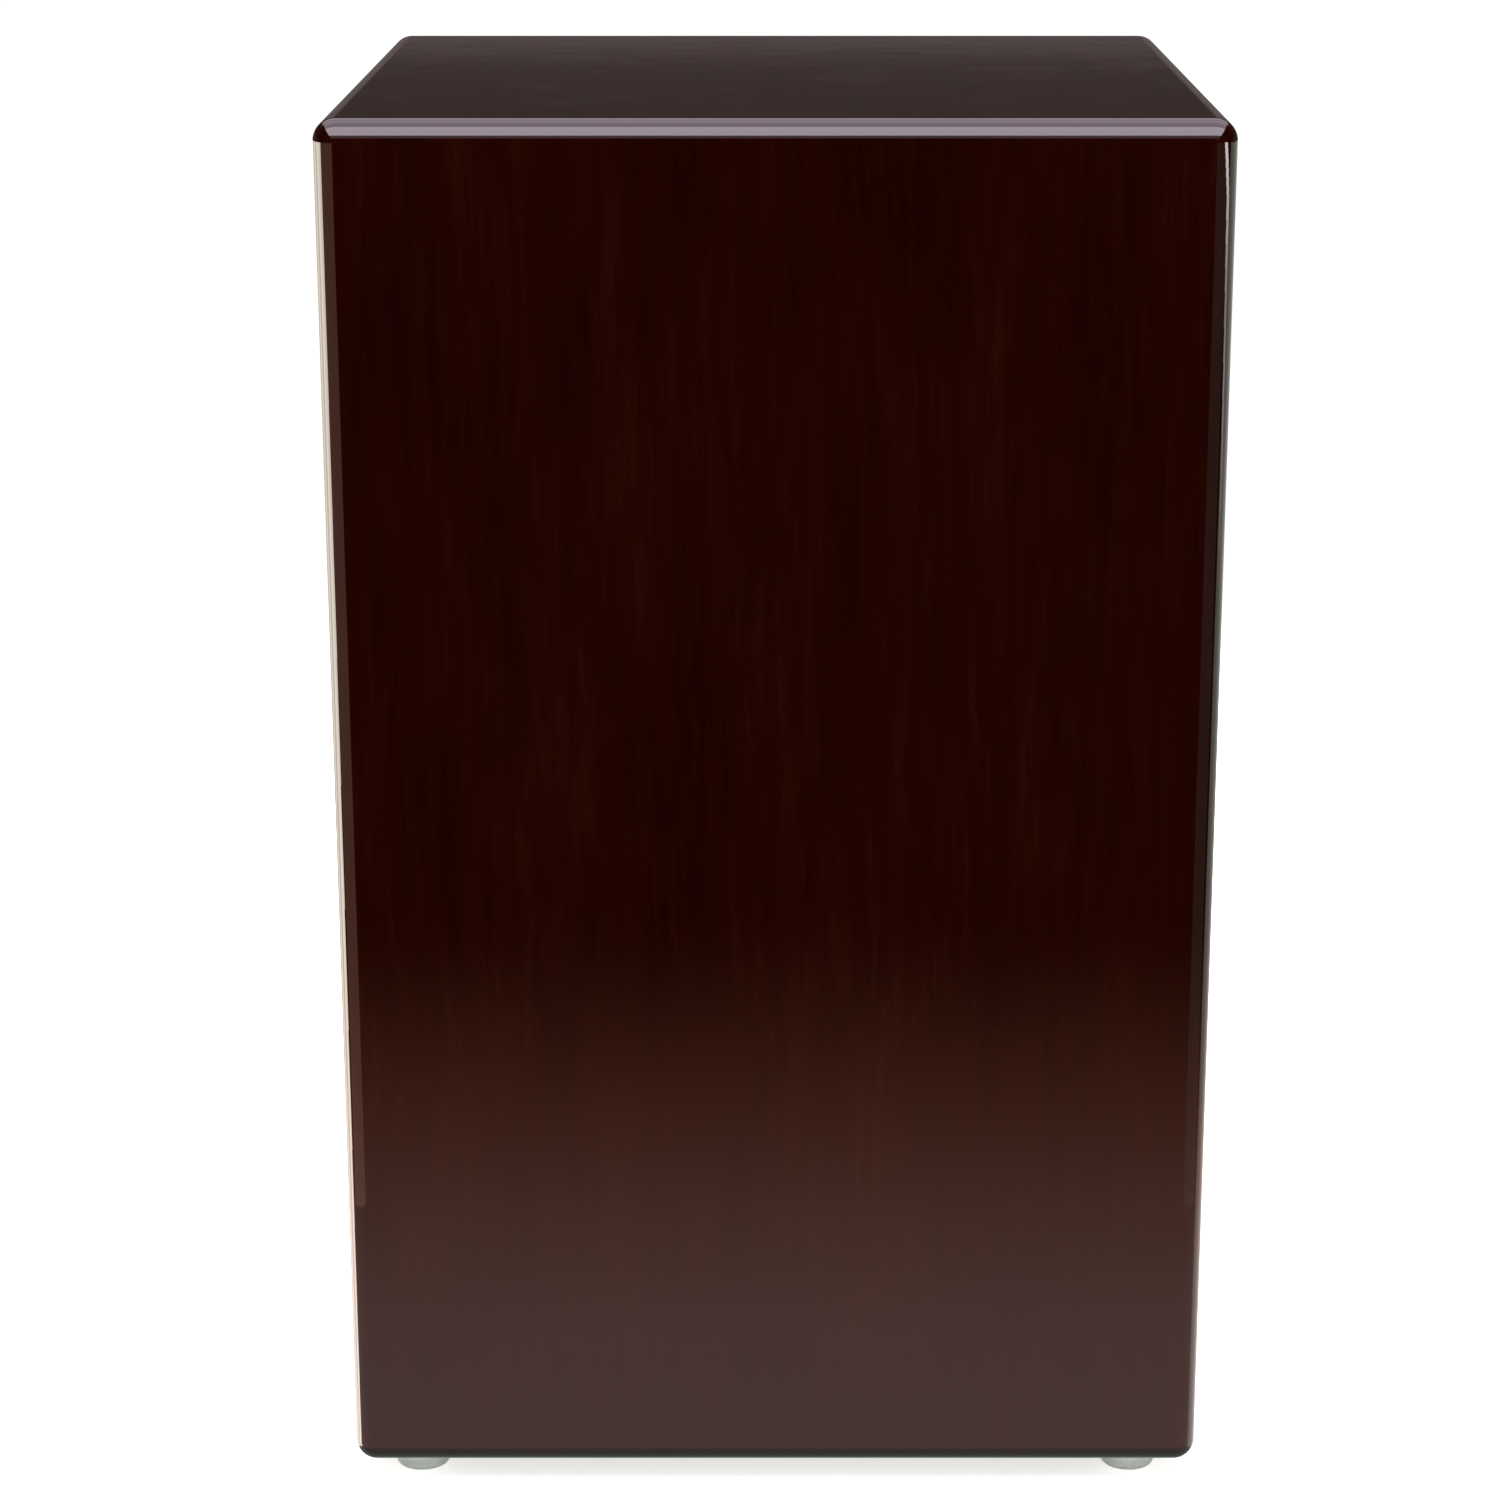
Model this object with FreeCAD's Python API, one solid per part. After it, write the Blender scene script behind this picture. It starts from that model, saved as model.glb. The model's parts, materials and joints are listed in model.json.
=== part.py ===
"""Cajon: a lacquered plywood box drum with a glued playing plate, a rear sound hole and a
turning snare dowel inside. Millimetres, +Z up, origin on the floor under the middle of the box.
The playing plate faces -Y and the sound hole faces +Y."""

import FreeCAD
import Part

import math
import os

Vector = FreeCAD.Vector

# ---------------------------------------------------------------- driving dimensions
BOX_WIDTH = 300.0
BOX_DEPTH = 285.0
BOX_HEIGHT = 477.0
EDGE_RADIUS = 7.5
FOOT_HEIGHT = 8.0

PANEL = 12.0  # sides, seat and base
TAPA = 3.0  # playing plate
REAR = 6.0  # rear panel

SOUND_HOLE_RADIUS = 60.0
SOUND_HOLE_Z = 290.0
SOUND_HOLE_EASING = 1.0

BATTEN = 15.0
BATTEN_ROUND = 2.0
BRACE_DEPTH = 20.0
BRACE_HEIGHT = 18.0

FOOT_RADIUS = 10.0
FOOT_TAPER = 0.6
FOOT_ROUND = 1.6
FOOT_DISC = 0.4  # adhesive disc between the foot and the base
FOOT_DISC_RADIUS = 9.2
FOOT_INSET_X = 22.5
FOOT_INSET_Y = 21.0

DOWEL_RADIUS = 11.0
DOWEL_Y = -105.0
DOWEL_Z = 341.0
JOURNAL_RADIUS = 6.0
JOURNAL_CLEARANCE = 0.05
JOURNAL_END_GAP = 2.0
SHOULDER_GAP = 0.3
DOWEL_FLAT = 8.0  # from the dowel's axis to the flat under a snare plate
FLAT_MARGIN = 1.0  # flat left free at each end of a plate

BLOCK_WIDTH = 20.0  # along the dowel
BLOCK_DEPTH = 39.0
BLOCK_HEIGHT = 40.0
BLOCK_ROUND = 5.0
FELT = 1.5
FELT_HOLE_RADIUS = 6.6

FAN_OFFSET = 58.0  # from the middle of the dowel to the middle of a snare fan
FAN_LEAN = 5.0  # degrees that a fan leans outwards
FAN_SPREAD = 9.0  # degrees between the outer strands of a fan
STRANDS = 10
STRAND_RADIUS = 1.2
STRAND_PITCH = 5.6
STRAND_SLOPE = 16.0  # degrees that a strand leans towards the tapa
STRAND_BEND = 100.0  # radius of the bend that lays a strand along the tapa
STRAND_LYING = 12.0  # straight length that lies along the tapa
STRAND_GAP = 0.3  # between a strand and the tapa
STRAND_START = 1.0  # from the middle of the plate to a strand's lower end

PLATE_WIDTH = 60.0
PLATE_LENGTH = 15.0
PLATE_SHEET = 1.0
PLATE_HEM = 7.0  # length of the fold that grips the strands
PLATE_SCREW_OFFSET = 20.0
PLATE_SCREW_RADIUS = 1.5
PLATE_SCREW_LENGTH = 12.0
PLATE_SCREW_HEAD = 3.2
PLATE_SCREW_HEAD_HEIGHT = 2.2
PLATE_SCREW_DOME = 1.3  # rounding of the screw's head
PLATE_SCREW_EDGE = 0.6  # from the screw's head to the lower edge of the plate

BLOCK_SCREW_RADIUS = 2.0
BLOCK_SCREW_HEAD = 4.0
BLOCK_SCREW_LENGTH = 29.0
BLOCK_SCREW_OFFSETS = ((-12.0, 13.0), (12.0, -13.0))  # Y and Z from the dowel's axis

LEVER_RADIUS = 5.0
LEVER_LENGTH = 97.0  # from the dowel's axis
LEVER_SLOPE = 10.0  # degrees below the horizontal with the snare on
LEVER_ROOT = 5.0  # past the dowel's axis
KNOB_RADIUS = 13.0
KNOB_GRIP = 14.0  # length of lever inside the knob
KNOB_FLAT = 1.5

SNARE_TRAVEL = 14.0  # degrees from snare on to snare off
PEG_RADIUS = 2.5
PEG_X = 110.0
PEG_ANGLE = 40.0  # degrees from straight up towards the rear with the snare on
PEG_REACH = 21.0  # from the dowel's axis
STOP_RADIUS = 2.0
STOP_DISTANCE = 16.0  # from the dowel's axis
STOP_GAP = 0.2
STOP_EMBEDDED = 8.0
STOP_REACH = 12.0

# ---------------------------------------------------------------- derived places
BOX_BOTTOM = FOOT_HEIGHT
BOX_TOP = FOOT_HEIGHT + BOX_HEIGHT
FRONT = -BOX_DEPTH / 2
BACK = BOX_DEPTH / 2
SHELL_FRONT = FRONT + TAPA
SHELL_BACK = BACK - REAR
INNER_X = BOX_WIDTH / 2 - PANEL
INNER_BOTTOM = BOX_BOTTOM + PANEL
INNER_TOP = BOX_TOP - PANEL
FRAME_X = INNER_X - BATTEN  # inner face of the side battens
BLOCK_FACE_X = INNER_X - BLOCK_WIDTH
SHOULDER_X = BLOCK_FACE_X - FELT - SHOULDER_GAP
DOWEL_AXIS = Vector(0, DOWEL_Y, DOWEL_Z)
X_AXIS = Vector(1, 0, 0)
Y_AXIS = Vector(0, 1, 0)
Z_AXIS = Vector(0, 0, 1)

SLOPE = math.radians(STRAND_SLOPE)
ALONG_STRAND = Vector(0, -math.sin(SLOPE), math.cos(SLOPE))
FLAT_NORMAL = Vector(0, -math.cos(SLOPE), -math.sin(SLOPE))
PLATE_THICKNESS = 2 * PLATE_SHEET + 2 * STRAND_RADIUS
STRAND_DEPTH = DOWEL_FLAT + PLATE_SHEET + STRAND_RADIUS  # from the dowel's axis, along the normal


def box_between(low, high):
    """A box from its lowest to its highest corner."""
    return Part.makeBox(high[0] - low[0], high[1] - low[1], high[2] - low[2], Vector(*low))


def rod(start, end, radius):
    """A round bar between two points."""
    return Part.makeCylinder(radius, (end - start).Length, start, end - start)


def prism_along_y(outline, y0, y1):
    """A prism from an outline in X and Z, between two Y planes."""
    corners = [Vector(x, y0, z) for x, z in outline]
    face = Part.Face(Part.makePolygon(corners + corners[:1]))
    return face.extrude(Vector(0, y1 - y0, 0))


def union(shapes):
    """One solid from several that meet or overlap."""
    result = shapes[0]
    for shape in shapes[1:]:
        result = result.fuse(shape)
    return result.removeSplitter()


# ---------------------------------------------------------------- the lacquered box
def envelope():
    """The whole outer form of the box, with every edge rounded over."""
    block = box_between((-BOX_WIDTH / 2, FRONT, BOX_BOTTOM), (BOX_WIDTH / 2, BACK, BOX_TOP))
    return block.makeFillet(EDGE_RADIUS, block.Edges)


def tapa():
    """The thin playing plate, glued over the whole front."""
    slab = box_between(
        (-BOX_WIDTH / 2, FRONT, BOX_BOTTOM), (BOX_WIDTH / 2, SHELL_FRONT, BOX_TOP)
    )
    return envelope().common(slab)


def rear_panel():
    """The rear panel with its round sound hole, both rims eased."""
    slab = box_between(
        (-BOX_WIDTH / 2, SHELL_BACK, BOX_BOTTOM), (BOX_WIDTH / 2, BACK, BOX_TOP)
    )
    centre = Vector(0, SHELL_BACK, SOUND_HOLE_Z)
    hole = Part.makeCylinder(SOUND_HOLE_RADIUS, REAR, centre, Y_AXIS)
    panel = envelope().common(slab).cut(hole)
    circumference = 2 * math.pi * SOUND_HOLE_RADIUS
    rims = [edge for edge in panel.Edges if edge.Closed and near(edge.Length, circumference)]
    return panel.makeFillet(SOUND_HOLE_EASING, rims)


def mitred_panel(outline):
    """A shell panel, mitred at both ends, from its outline in X and Z."""
    return envelope().common(prism_along_y(outline, SHELL_FRONT, SHELL_BACK))


def seat_panel():
    """The board that the player sits on."""
    half = BOX_WIDTH / 2
    return mitred_panel(
        [(-half, BOX_TOP), (half, BOX_TOP), (INNER_X, INNER_TOP), (-INNER_X, INNER_TOP)]
    )


def base_panel():
    """The board that carries the feet."""
    half = BOX_WIDTH / 2
    return mitred_panel(
        [(-half, BOX_BOTTOM), (half, BOX_BOTTOM), (INNER_X, INNER_BOTTOM), (-INNER_X, INNER_BOTTOM)]
    )


def side_panel(side):
    """A side board; side is -1 for the left and 1 for the right. Its screw holes are blind."""
    outer, inner = side * BOX_WIDTH / 2, side * INNER_X
    panel = mitred_panel(
        [(outer, BOX_BOTTOM), (outer, BOX_TOP), (inner, INNER_TOP), (inner, INNER_BOTTOM)]
    )
    return panel.cut(block_screws_on(side))


# ---------------------------------------------------------------- battens and brace
def batten(low, high, free_edge):
    """A square batten with its free inner edge eased; free_edge picks that edge by its middle."""
    bar = box_between(low, high)
    eased = [edge for edge in bar.Edges if free_edge(edge.CenterOfMass)]
    return bar.makeFillet(BATTEN_ROUND, eased)


def near(value, target):
    """True where two coordinates are the same to a micron."""
    return abs(value - target) < 1e-3


def upright_batten(side, y0, y1, inner_y):
    """A full-height batten in a vertical corner of the box."""
    x0, x1 = sorted((side * FRAME_X, side * INNER_X))
    return batten(
        (x0, y0, INNER_BOTTOM),
        (x1, y1, INNER_TOP),
        lambda c: near(c.x, side * FRAME_X) and near(c.y, inner_y),
    )


def cross_batten(z0, z1, y0, y1, inner_y, inner_z):
    """A batten that runs left to right between two uprights."""
    return batten(
        (-FRAME_X, y0, z0),
        (FRAME_X, y1, z1),
        lambda c: near(c.y, inner_y) and near(c.z, inner_z),
    )


def long_batten(side, z0, z1, inner_z):
    """A batten that runs front to back between the uprights."""
    x0, x1 = sorted((side * FRAME_X, side * INNER_X))
    return batten(
        (x0, SHELL_FRONT + BATTEN, z0),
        (x1, SHELL_BACK - BATTEN, z1),
        lambda c: near(c.x, side * FRAME_X) and near(c.z, inner_z),
    )


def battens():
    """The twelve battens that line the corners of the box."""
    front = (SHELL_FRONT, SHELL_FRONT + BATTEN)
    rear = (SHELL_BACK - BATTEN, SHELL_BACK)
    low = (INNER_BOTTOM, INNER_BOTTOM + BATTEN)
    high = (INNER_TOP - BATTEN, INNER_TOP)
    made = {}
    for name, side in (("left", -1), ("right", 1)):
        made[f"batten_front_{name}"] = upright_batten(side, *front, front[1])
        made[f"batten_rear_{name}"] = upright_batten(side, *rear, rear[0])
        made[f"batten_base_{name}"] = long_batten(side, *low, low[1])
        made[f"batten_seat_{name}"] = long_batten(side, *high, high[0])
    made["batten_front_bottom"] = cross_batten(*low, *front, front[1], low[1])
    made["batten_front_top"] = cross_batten(*high, *front, front[1], high[0])
    made["batten_rear_bottom"] = cross_batten(*low, *rear, rear[0], low[1])
    made["batten_rear_top"] = cross_batten(*high, *rear, rear[0], high[0])
    return made


def seat_brace():
    """The cross brace glued under the middle of the seat."""
    bar = box_between(
        (-FRAME_X, -BRACE_DEPTH / 2, INNER_TOP - BRACE_HEIGHT), (FRAME_X, BRACE_DEPTH / 2, INNER_TOP)
    )
    lower = [
        edge
        for edge in bar.Edges
        if near(edge.CenterOfMass.z, INNER_TOP - BRACE_HEIGHT) and near(edge.CenterOfMass.x, 0)
    ]
    return bar.makeFillet(BATTEN_ROUND, lower)


# ---------------------------------------------------------------- feet
def foot_places():
    """Node suffix and place of each foot."""
    x = BOX_WIDTH / 2 - FOOT_INSET_X
    y = BOX_DEPTH / 2 - FOOT_INSET_Y
    return {
        "front_left": Vector(-x, -y, 0),
        "front_right": Vector(x, -y, 0),
        "rear_left": Vector(-x, y, 0),
        "rear_right": Vector(x, y, 0),
    }


def foot(place):
    """A soft round bumper, slightly narrower on the floor, with a rounded lower rim."""
    height = FOOT_HEIGHT - FOOT_DISC
    body = Part.makeCone(FOOT_RADIUS - FOOT_TAPER, FOOT_RADIUS, height, place, Z_AXIS)
    lower_rim = [
        edge for edge in body.Edges if edge.Closed and near(edge.CenterOfMass.z, place.z)
    ]
    return body.makeFillet(FOOT_ROUND, lower_rim)


def foot_adhesive_discs():
    """The four thin adhesive discs that hold the feet."""
    lift = Vector(0, 0, FOOT_HEIGHT - FOOT_DISC)
    return Part.makeCompound(
        [
            Part.makeCylinder(FOOT_DISC_RADIUS, FOOT_DISC, place + lift, Z_AXIS)
            for place in foot_places().values()
        ]
    )


# ---------------------------------------------------------------- bearing blocks
def block_screw(side, offset):
    """A countersunk screw through a bearing block into the side panel."""
    y, z = DOWEL_Y + offset[0], DOWEL_Z + offset[1]
    face = Vector(side * BLOCK_FACE_X, y, z)
    into = Vector(side, 0, 0)
    head_height = BLOCK_SCREW_HEAD - BLOCK_SCREW_RADIUS
    head = Part.makeCone(BLOCK_SCREW_HEAD, BLOCK_SCREW_RADIUS, head_height, face, into)
    shank_start = face + into * head_height
    shank = rod(shank_start, face + into * BLOCK_SCREW_LENGTH, BLOCK_SCREW_RADIUS)
    return union([head, shank])


def block_screws_on(side):
    """The screws of one bearing block."""
    return Part.makeCompound([block_screw(side, offset) for offset in BLOCK_SCREW_OFFSETS])


def bearing_block(side):
    """The hardwood block in which one end of the snare dowel turns."""
    x0, x1 = sorted((side * BLOCK_FACE_X, side * INNER_X))
    y0 = SHELL_FRONT + BATTEN
    z0 = DOWEL_Z - BLOCK_HEIGHT / 2
    block = box_between((x0, y0, z0), (x1, y0 + BLOCK_DEPTH, z0 + BLOCK_HEIGHT))
    middle_x = (x0 + x1) / 2
    rear_y = y0 + BLOCK_DEPTH
    centres = [(edge, edge.CenterOfMass) for edge in block.Edges]
    rear_edges = [edge for edge, c in centres if near(c.y, rear_y) and near(c.x, middle_x)]
    block = block.makeFillet(BLOCK_ROUND, rear_edges)
    bore = Part.makeCylinder(
        JOURNAL_RADIUS + JOURNAL_CLEARANCE, BLOCK_WIDTH, Vector(x0, DOWEL_Y, DOWEL_Z), X_AXIS
    )
    block = block.cut(bore).cut(block_screws_on(side))
    if side > 0:
        block = block.cut(stop_pin())
    return block


def felt_washer(side):
    """The felt ring that keeps the dowel's shoulder from knocking on the block."""
    x0 = min(side * BLOCK_FACE_X, side * (BLOCK_FACE_X - FELT))
    start = Vector(x0, DOWEL_Y, DOWEL_Z)
    outer = Part.makeCylinder(DOWEL_RADIUS, FELT, start, X_AXIS)
    return outer.cut(Part.makeCylinder(FELT_HOLE_RADIUS, FELT, start, X_AXIS))


def stop_pin():
    """The steel pin that ends the dowel's turn when the snare is off."""
    swing = math.asin((PEG_RADIUS + STOP_RADIUS + STOP_GAP) / STOP_DISTANCE)
    angle = math.radians(PEG_ANGLE + SNARE_TRAVEL) + swing
    y = DOWEL_Y + STOP_DISTANCE * math.sin(angle)
    z = DOWEL_Z + STOP_DISTANCE * math.cos(angle)
    return rod(
        Vector(BLOCK_FACE_X - STOP_REACH, y, z),
        Vector(BLOCK_FACE_X + STOP_EMBEDDED, y, z),
        STOP_RADIUS,
    )


# ---------------------------------------------------------------- the turning snare unit
def lever_direction():
    """The way the lever points with the snare on."""
    slope = math.radians(LEVER_SLOPE)
    return Vector(0, math.cos(slope), -math.sin(slope))


def lever_arm():
    """The round lever set into the middle of the dowel."""
    along = lever_direction()
    return rod(DOWEL_AXIS - along * LEVER_ROOT, DOWEL_AXIS + along * LEVER_LENGTH, LEVER_RADIUS)


def lever_knob():
    """The turned ball on the end of the lever, with a flat where the lever enters."""
    along = lever_direction()
    centre = DOWEL_AXIS + along * (LEVER_LENGTH - KNOB_GRIP + KNOB_RADIUS - KNOB_FLAT)
    ball = Part.makeSphere(KNOB_RADIUS, centre)
    flat_at = centre - along * (KNOB_RADIUS - KNOB_FLAT)
    shaving = Part.makeCylinder(KNOB_RADIUS, KNOB_FLAT, flat_at - along * KNOB_FLAT, along)
    return ball.cut(shaving).cut(lever_arm())


def stop_peg():
    """The peg on the dowel that meets the stop pin."""
    angle = math.radians(PEG_ANGLE)
    along = Vector(0, math.sin(angle), math.cos(angle))
    root = DOWEL_AXIS + Vector(PEG_X, 0, 0)
    return rod(root, root + along * PEG_REACH, PEG_RADIUS)


def on_flat(x, across, along):
    """The point at x, across the flats and along the strands, counted from the dowel's axis."""
    return DOWEL_AXIS + Vector(x, 0, 0) + FLAT_NORMAL * across + ALONG_STRAND * along


def slab_on_flat(x, width, across0, across1, along0, along1):
    """A box laid on one of the dowel's flats."""
    corners = [
        on_flat(x - width / 2, across0, along0),
        on_flat(x - width / 2, across1, along0),
        on_flat(x - width / 2, across1, along1),
        on_flat(x - width / 2, across0, along1),
    ]
    face = Part.Face(Part.makePolygon(corners + corners[:1]))
    return face.extrude(Vector(width, 0, 0))


def snare_dowel():
    """The beech dowel with two journals, a flat under each snare plate, and its holes."""
    main = rod(
        DOWEL_AXIS - X_AXIS * SHOULDER_X, DOWEL_AXIS + X_AXIS * SHOULDER_X, DOWEL_RADIUS
    )
    reach = INNER_X - JOURNAL_END_GAP
    journals = rod(DOWEL_AXIS - X_AXIS * reach, DOWEL_AXIS + X_AXIS * reach, JOURNAL_RADIUS)
    dowel = union([main, journals])
    for side in (-1, 1):
        dowel = dowel.cut(
            slab_on_flat(
                side * FAN_OFFSET,
                PLATE_WIDTH + 2 * FLAT_MARGIN,
                DOWEL_FLAT,
                2 * DOWEL_RADIUS,
                -DOWEL_RADIUS,
                DOWEL_RADIUS,
            )
        )
    return dowel.cut(lever_arm()).cut(stop_peg()).cut(plate_screws())


def strand_path(start):
    """A strand's centreline: out of the plate, then bent to lie along the tapa."""
    lying_y = SHELL_FRONT + STRAND_GAP + STRAND_RADIUS
    sideways = start.y - lying_y - STRAND_BEND * (1 - math.cos(SLOPE))
    bend_start = start + ALONG_STRAND * (sideways / math.sin(SLOPE))
    centre = bend_start + Vector(0, math.cos(SLOPE), math.sin(SLOPE)) * STRAND_BEND
    half = SLOPE / 2
    bend_middle = centre - Vector(0, math.cos(half), math.sin(half)) * STRAND_BEND
    bend_end = centre - Y_AXIS * STRAND_BEND
    tip = bend_end + Z_AXIS * STRAND_LYING
    return Part.Wire(
        [
            Part.LineSegment(start, bend_start).toShape(),
            Part.Arc(bend_start, bend_middle, bend_end).toShape(),
            Part.LineSegment(bend_end, tip).toShape(),
        ]
    )


def strand(side, number):
    """One coiled strand, as the bar that its coils fill."""
    place = number - (STRANDS - 1) / 2
    start = on_flat(side * FAN_OFFSET + place * STRAND_PITCH, STRAND_DEPTH, STRAND_START)
    path = strand_path(start)
    section = Part.Wire([Part.Circle(start, ALONG_STRAND, STRAND_RADIUS).toShape()])
    bar = path.makePipeShell([section], True, False)
    splay = FAN_LEAN * side + FAN_SPREAD * place / (STRANDS - 1)
    bar.rotate(start, FLAT_NORMAL, -splay)
    return bar


def snare_wires(side):
    """A fan of strands."""
    return Part.makeCompound([strand(side, number) for number in range(STRANDS)])


def snare_plate(side):
    """The folded steel strip that grips the strands and is screwed to the dowel."""
    x = side * FAN_OFFSET
    half = PLATE_LENGTH / 2
    sheet = slab_on_flat(x, PLATE_WIDTH, DOWEL_FLAT, DOWEL_FLAT + PLATE_SHEET, -half, half)
    fold = slab_on_flat(
        x, PLATE_WIDTH, DOWEL_FLAT, DOWEL_FLAT + PLATE_THICKNESS, half - PLATE_HEM, half
    )
    plate = union([sheet, fold])
    return plate.cut(snare_wires(side)).cut(plate_screws())


def plate_screw(x):
    """A pan-head screw through a snare plate into the dowel."""
    along = PLATE_SCREW_HEAD + PLATE_SCREW_EDGE - PLATE_LENGTH / 2
    seat = on_flat(x, DOWEL_FLAT + PLATE_SHEET, along)
    shank = rod(seat, seat - FLAT_NORMAL * PLATE_SCREW_LENGTH, PLATE_SCREW_RADIUS)
    head = Part.makeCylinder(PLATE_SCREW_HEAD, PLATE_SCREW_HEAD_HEIGHT, seat, FLAT_NORMAL)
    top = seat + FLAT_NORMAL * PLATE_SCREW_HEAD_HEIGHT
    rim = [
        edge for edge in head.Edges if edge.Closed and near((edge.CenterOfMass - top).Length, 0)
    ]
    head = head.makeFillet(PLATE_SCREW_DOME, rim)
    return union([head, shank])


def plate_screws():
    """The four screws of the two snare plates."""
    return Part.makeCompound(
        [
            plate_screw(side * FAN_OFFSET + offset)
            for side in (-1, 1)
            for offset in (-PLATE_SCREW_OFFSET, PLATE_SCREW_OFFSET)
        ]
    )


# ---------------------------------------------------------------- all nodes
def nodes():
    """Every node's name and shape."""
    made = {
        "tapa": tapa(),
        "rear_panel": rear_panel(),
        "seat_panel": seat_panel(),
        "base_panel": base_panel(),
        "side_panel_left": side_panel(-1),
        "side_panel_right": side_panel(1),
        "seat_brace": seat_brace(),
        "foot_adhesive_discs": foot_adhesive_discs(),
        "bearing_block_left": bearing_block(-1),
        "bearing_block_right": bearing_block(1),
        "bearing_block_screws": Part.makeCompound(
            block_screws_on(-1).Solids + block_screws_on(1).Solids
        ),
        "felt_washer_left": felt_washer(-1),
        "felt_washer_right": felt_washer(1),
        "stop_pin": stop_pin(),
        "snare_dowel": snare_dowel(),
        "snare_plate_left": snare_plate(-1),
        "snare_plate_right": snare_plate(1),
        "snare_plate_screws": plate_screws(),
        "snare_wires_left": snare_wires(-1),
        "snare_wires_right": snare_wires(1),
        "snare_lever_arm": lever_arm(),
        "snare_lever_knob": lever_knob(),
        "snare_stop_peg": stop_peg(),
    }
    made.update(battens())
    for name, place in foot_places().items():
        made[f"foot_{name}"] = foot(place)
    return made


def main():
    """Writes one STEP per node."""
    os.makedirs("parts", exist_ok=True)
    for name, shape in nodes().items():
        if not shape.isValid():
            print("not valid:", name)
        shape.exportStep(f"parts/{name}.step")
        print(f"{name}: {len(shape.Solids)} solid(s), {shape.Volume / 1000:.2f} cm3")


main()
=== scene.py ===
"""Looks of a snare cajon.

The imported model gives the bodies, the nodes and their places. The lacquered panels, the feet, the snare
wires, the screws and the turned fittings are remade here in finer detail, and every part gets its finish.
"""

import json
import logging
import math
from dataclasses import dataclass, field
from enum import Enum
from typing import Callable, Sequence

import bmesh
import bpy
from mathutils import Matrix, Vector


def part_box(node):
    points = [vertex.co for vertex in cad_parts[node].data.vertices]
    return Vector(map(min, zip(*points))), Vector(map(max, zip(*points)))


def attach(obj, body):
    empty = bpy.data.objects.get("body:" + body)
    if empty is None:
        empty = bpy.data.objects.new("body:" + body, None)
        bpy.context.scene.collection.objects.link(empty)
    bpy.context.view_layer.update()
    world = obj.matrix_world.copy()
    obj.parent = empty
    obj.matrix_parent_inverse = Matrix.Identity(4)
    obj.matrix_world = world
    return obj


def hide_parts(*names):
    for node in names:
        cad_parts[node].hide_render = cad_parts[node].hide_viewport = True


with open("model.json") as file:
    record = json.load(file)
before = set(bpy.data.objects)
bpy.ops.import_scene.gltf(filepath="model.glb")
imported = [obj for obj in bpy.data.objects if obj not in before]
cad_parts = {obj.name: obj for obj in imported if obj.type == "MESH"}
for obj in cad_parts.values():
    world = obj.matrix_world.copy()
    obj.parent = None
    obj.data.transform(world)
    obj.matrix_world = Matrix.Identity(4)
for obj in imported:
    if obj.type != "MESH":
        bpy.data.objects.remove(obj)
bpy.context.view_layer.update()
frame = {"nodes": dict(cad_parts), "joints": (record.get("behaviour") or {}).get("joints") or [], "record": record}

LOG = logging.getLogger("cajon")

MM = 0.001
WELD = 1e-7  # vertices closer than this are one
CREASE = math.radians(32)  # faces meeting at more than this keep a sharp edge
UP = Vector((0.0, 0.0, 1.0))

Pair = tuple[float, float]
Triple = tuple[float, float, float]
Colour = tuple[float, float, float, float]
Grain = tuple[float, float, float, float]
Socket = bpy.types.NodeSocket
Node = bpy.types.Node
Tree = bpy.types.NodeTree
Material = bpy.types.Material
Piece = bpy.types.Object
Shape = bmesh.types.BMesh
Value = float | tuple | Socket
Inputs = dict[str | int, Value]


class Body(Enum):
    """The two moving bodies."""

    BOX = "box"
    SNARE = "snare"


class Stock(Enum):
    """What a piece is made of: the record's material slots."""

    LACQUERED_PLY = "lacquered_plywood"
    SOFTWOOD = "batten_softwood"
    BEECH = "beech"
    WIRE = "snare_wire"
    ZINC = "zinc_steel"
    FELT = "felt"
    RUBBER = "clear_rubber"
    ADHESIVE = "adhesive"


class Run(Enum):
    """The way that the fibres run, as the turn that brings it to Z."""

    LEFT_RIGHT = (0.0, -math.pi / 2, 0.0)
    FRONT_BACK = (math.pi / 2, 0.0, 0.0)
    UPRIGHT = (0.0, 0.0, 0.0)
    LEVER = (math.radians(100), 0.0, 0.0)


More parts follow.
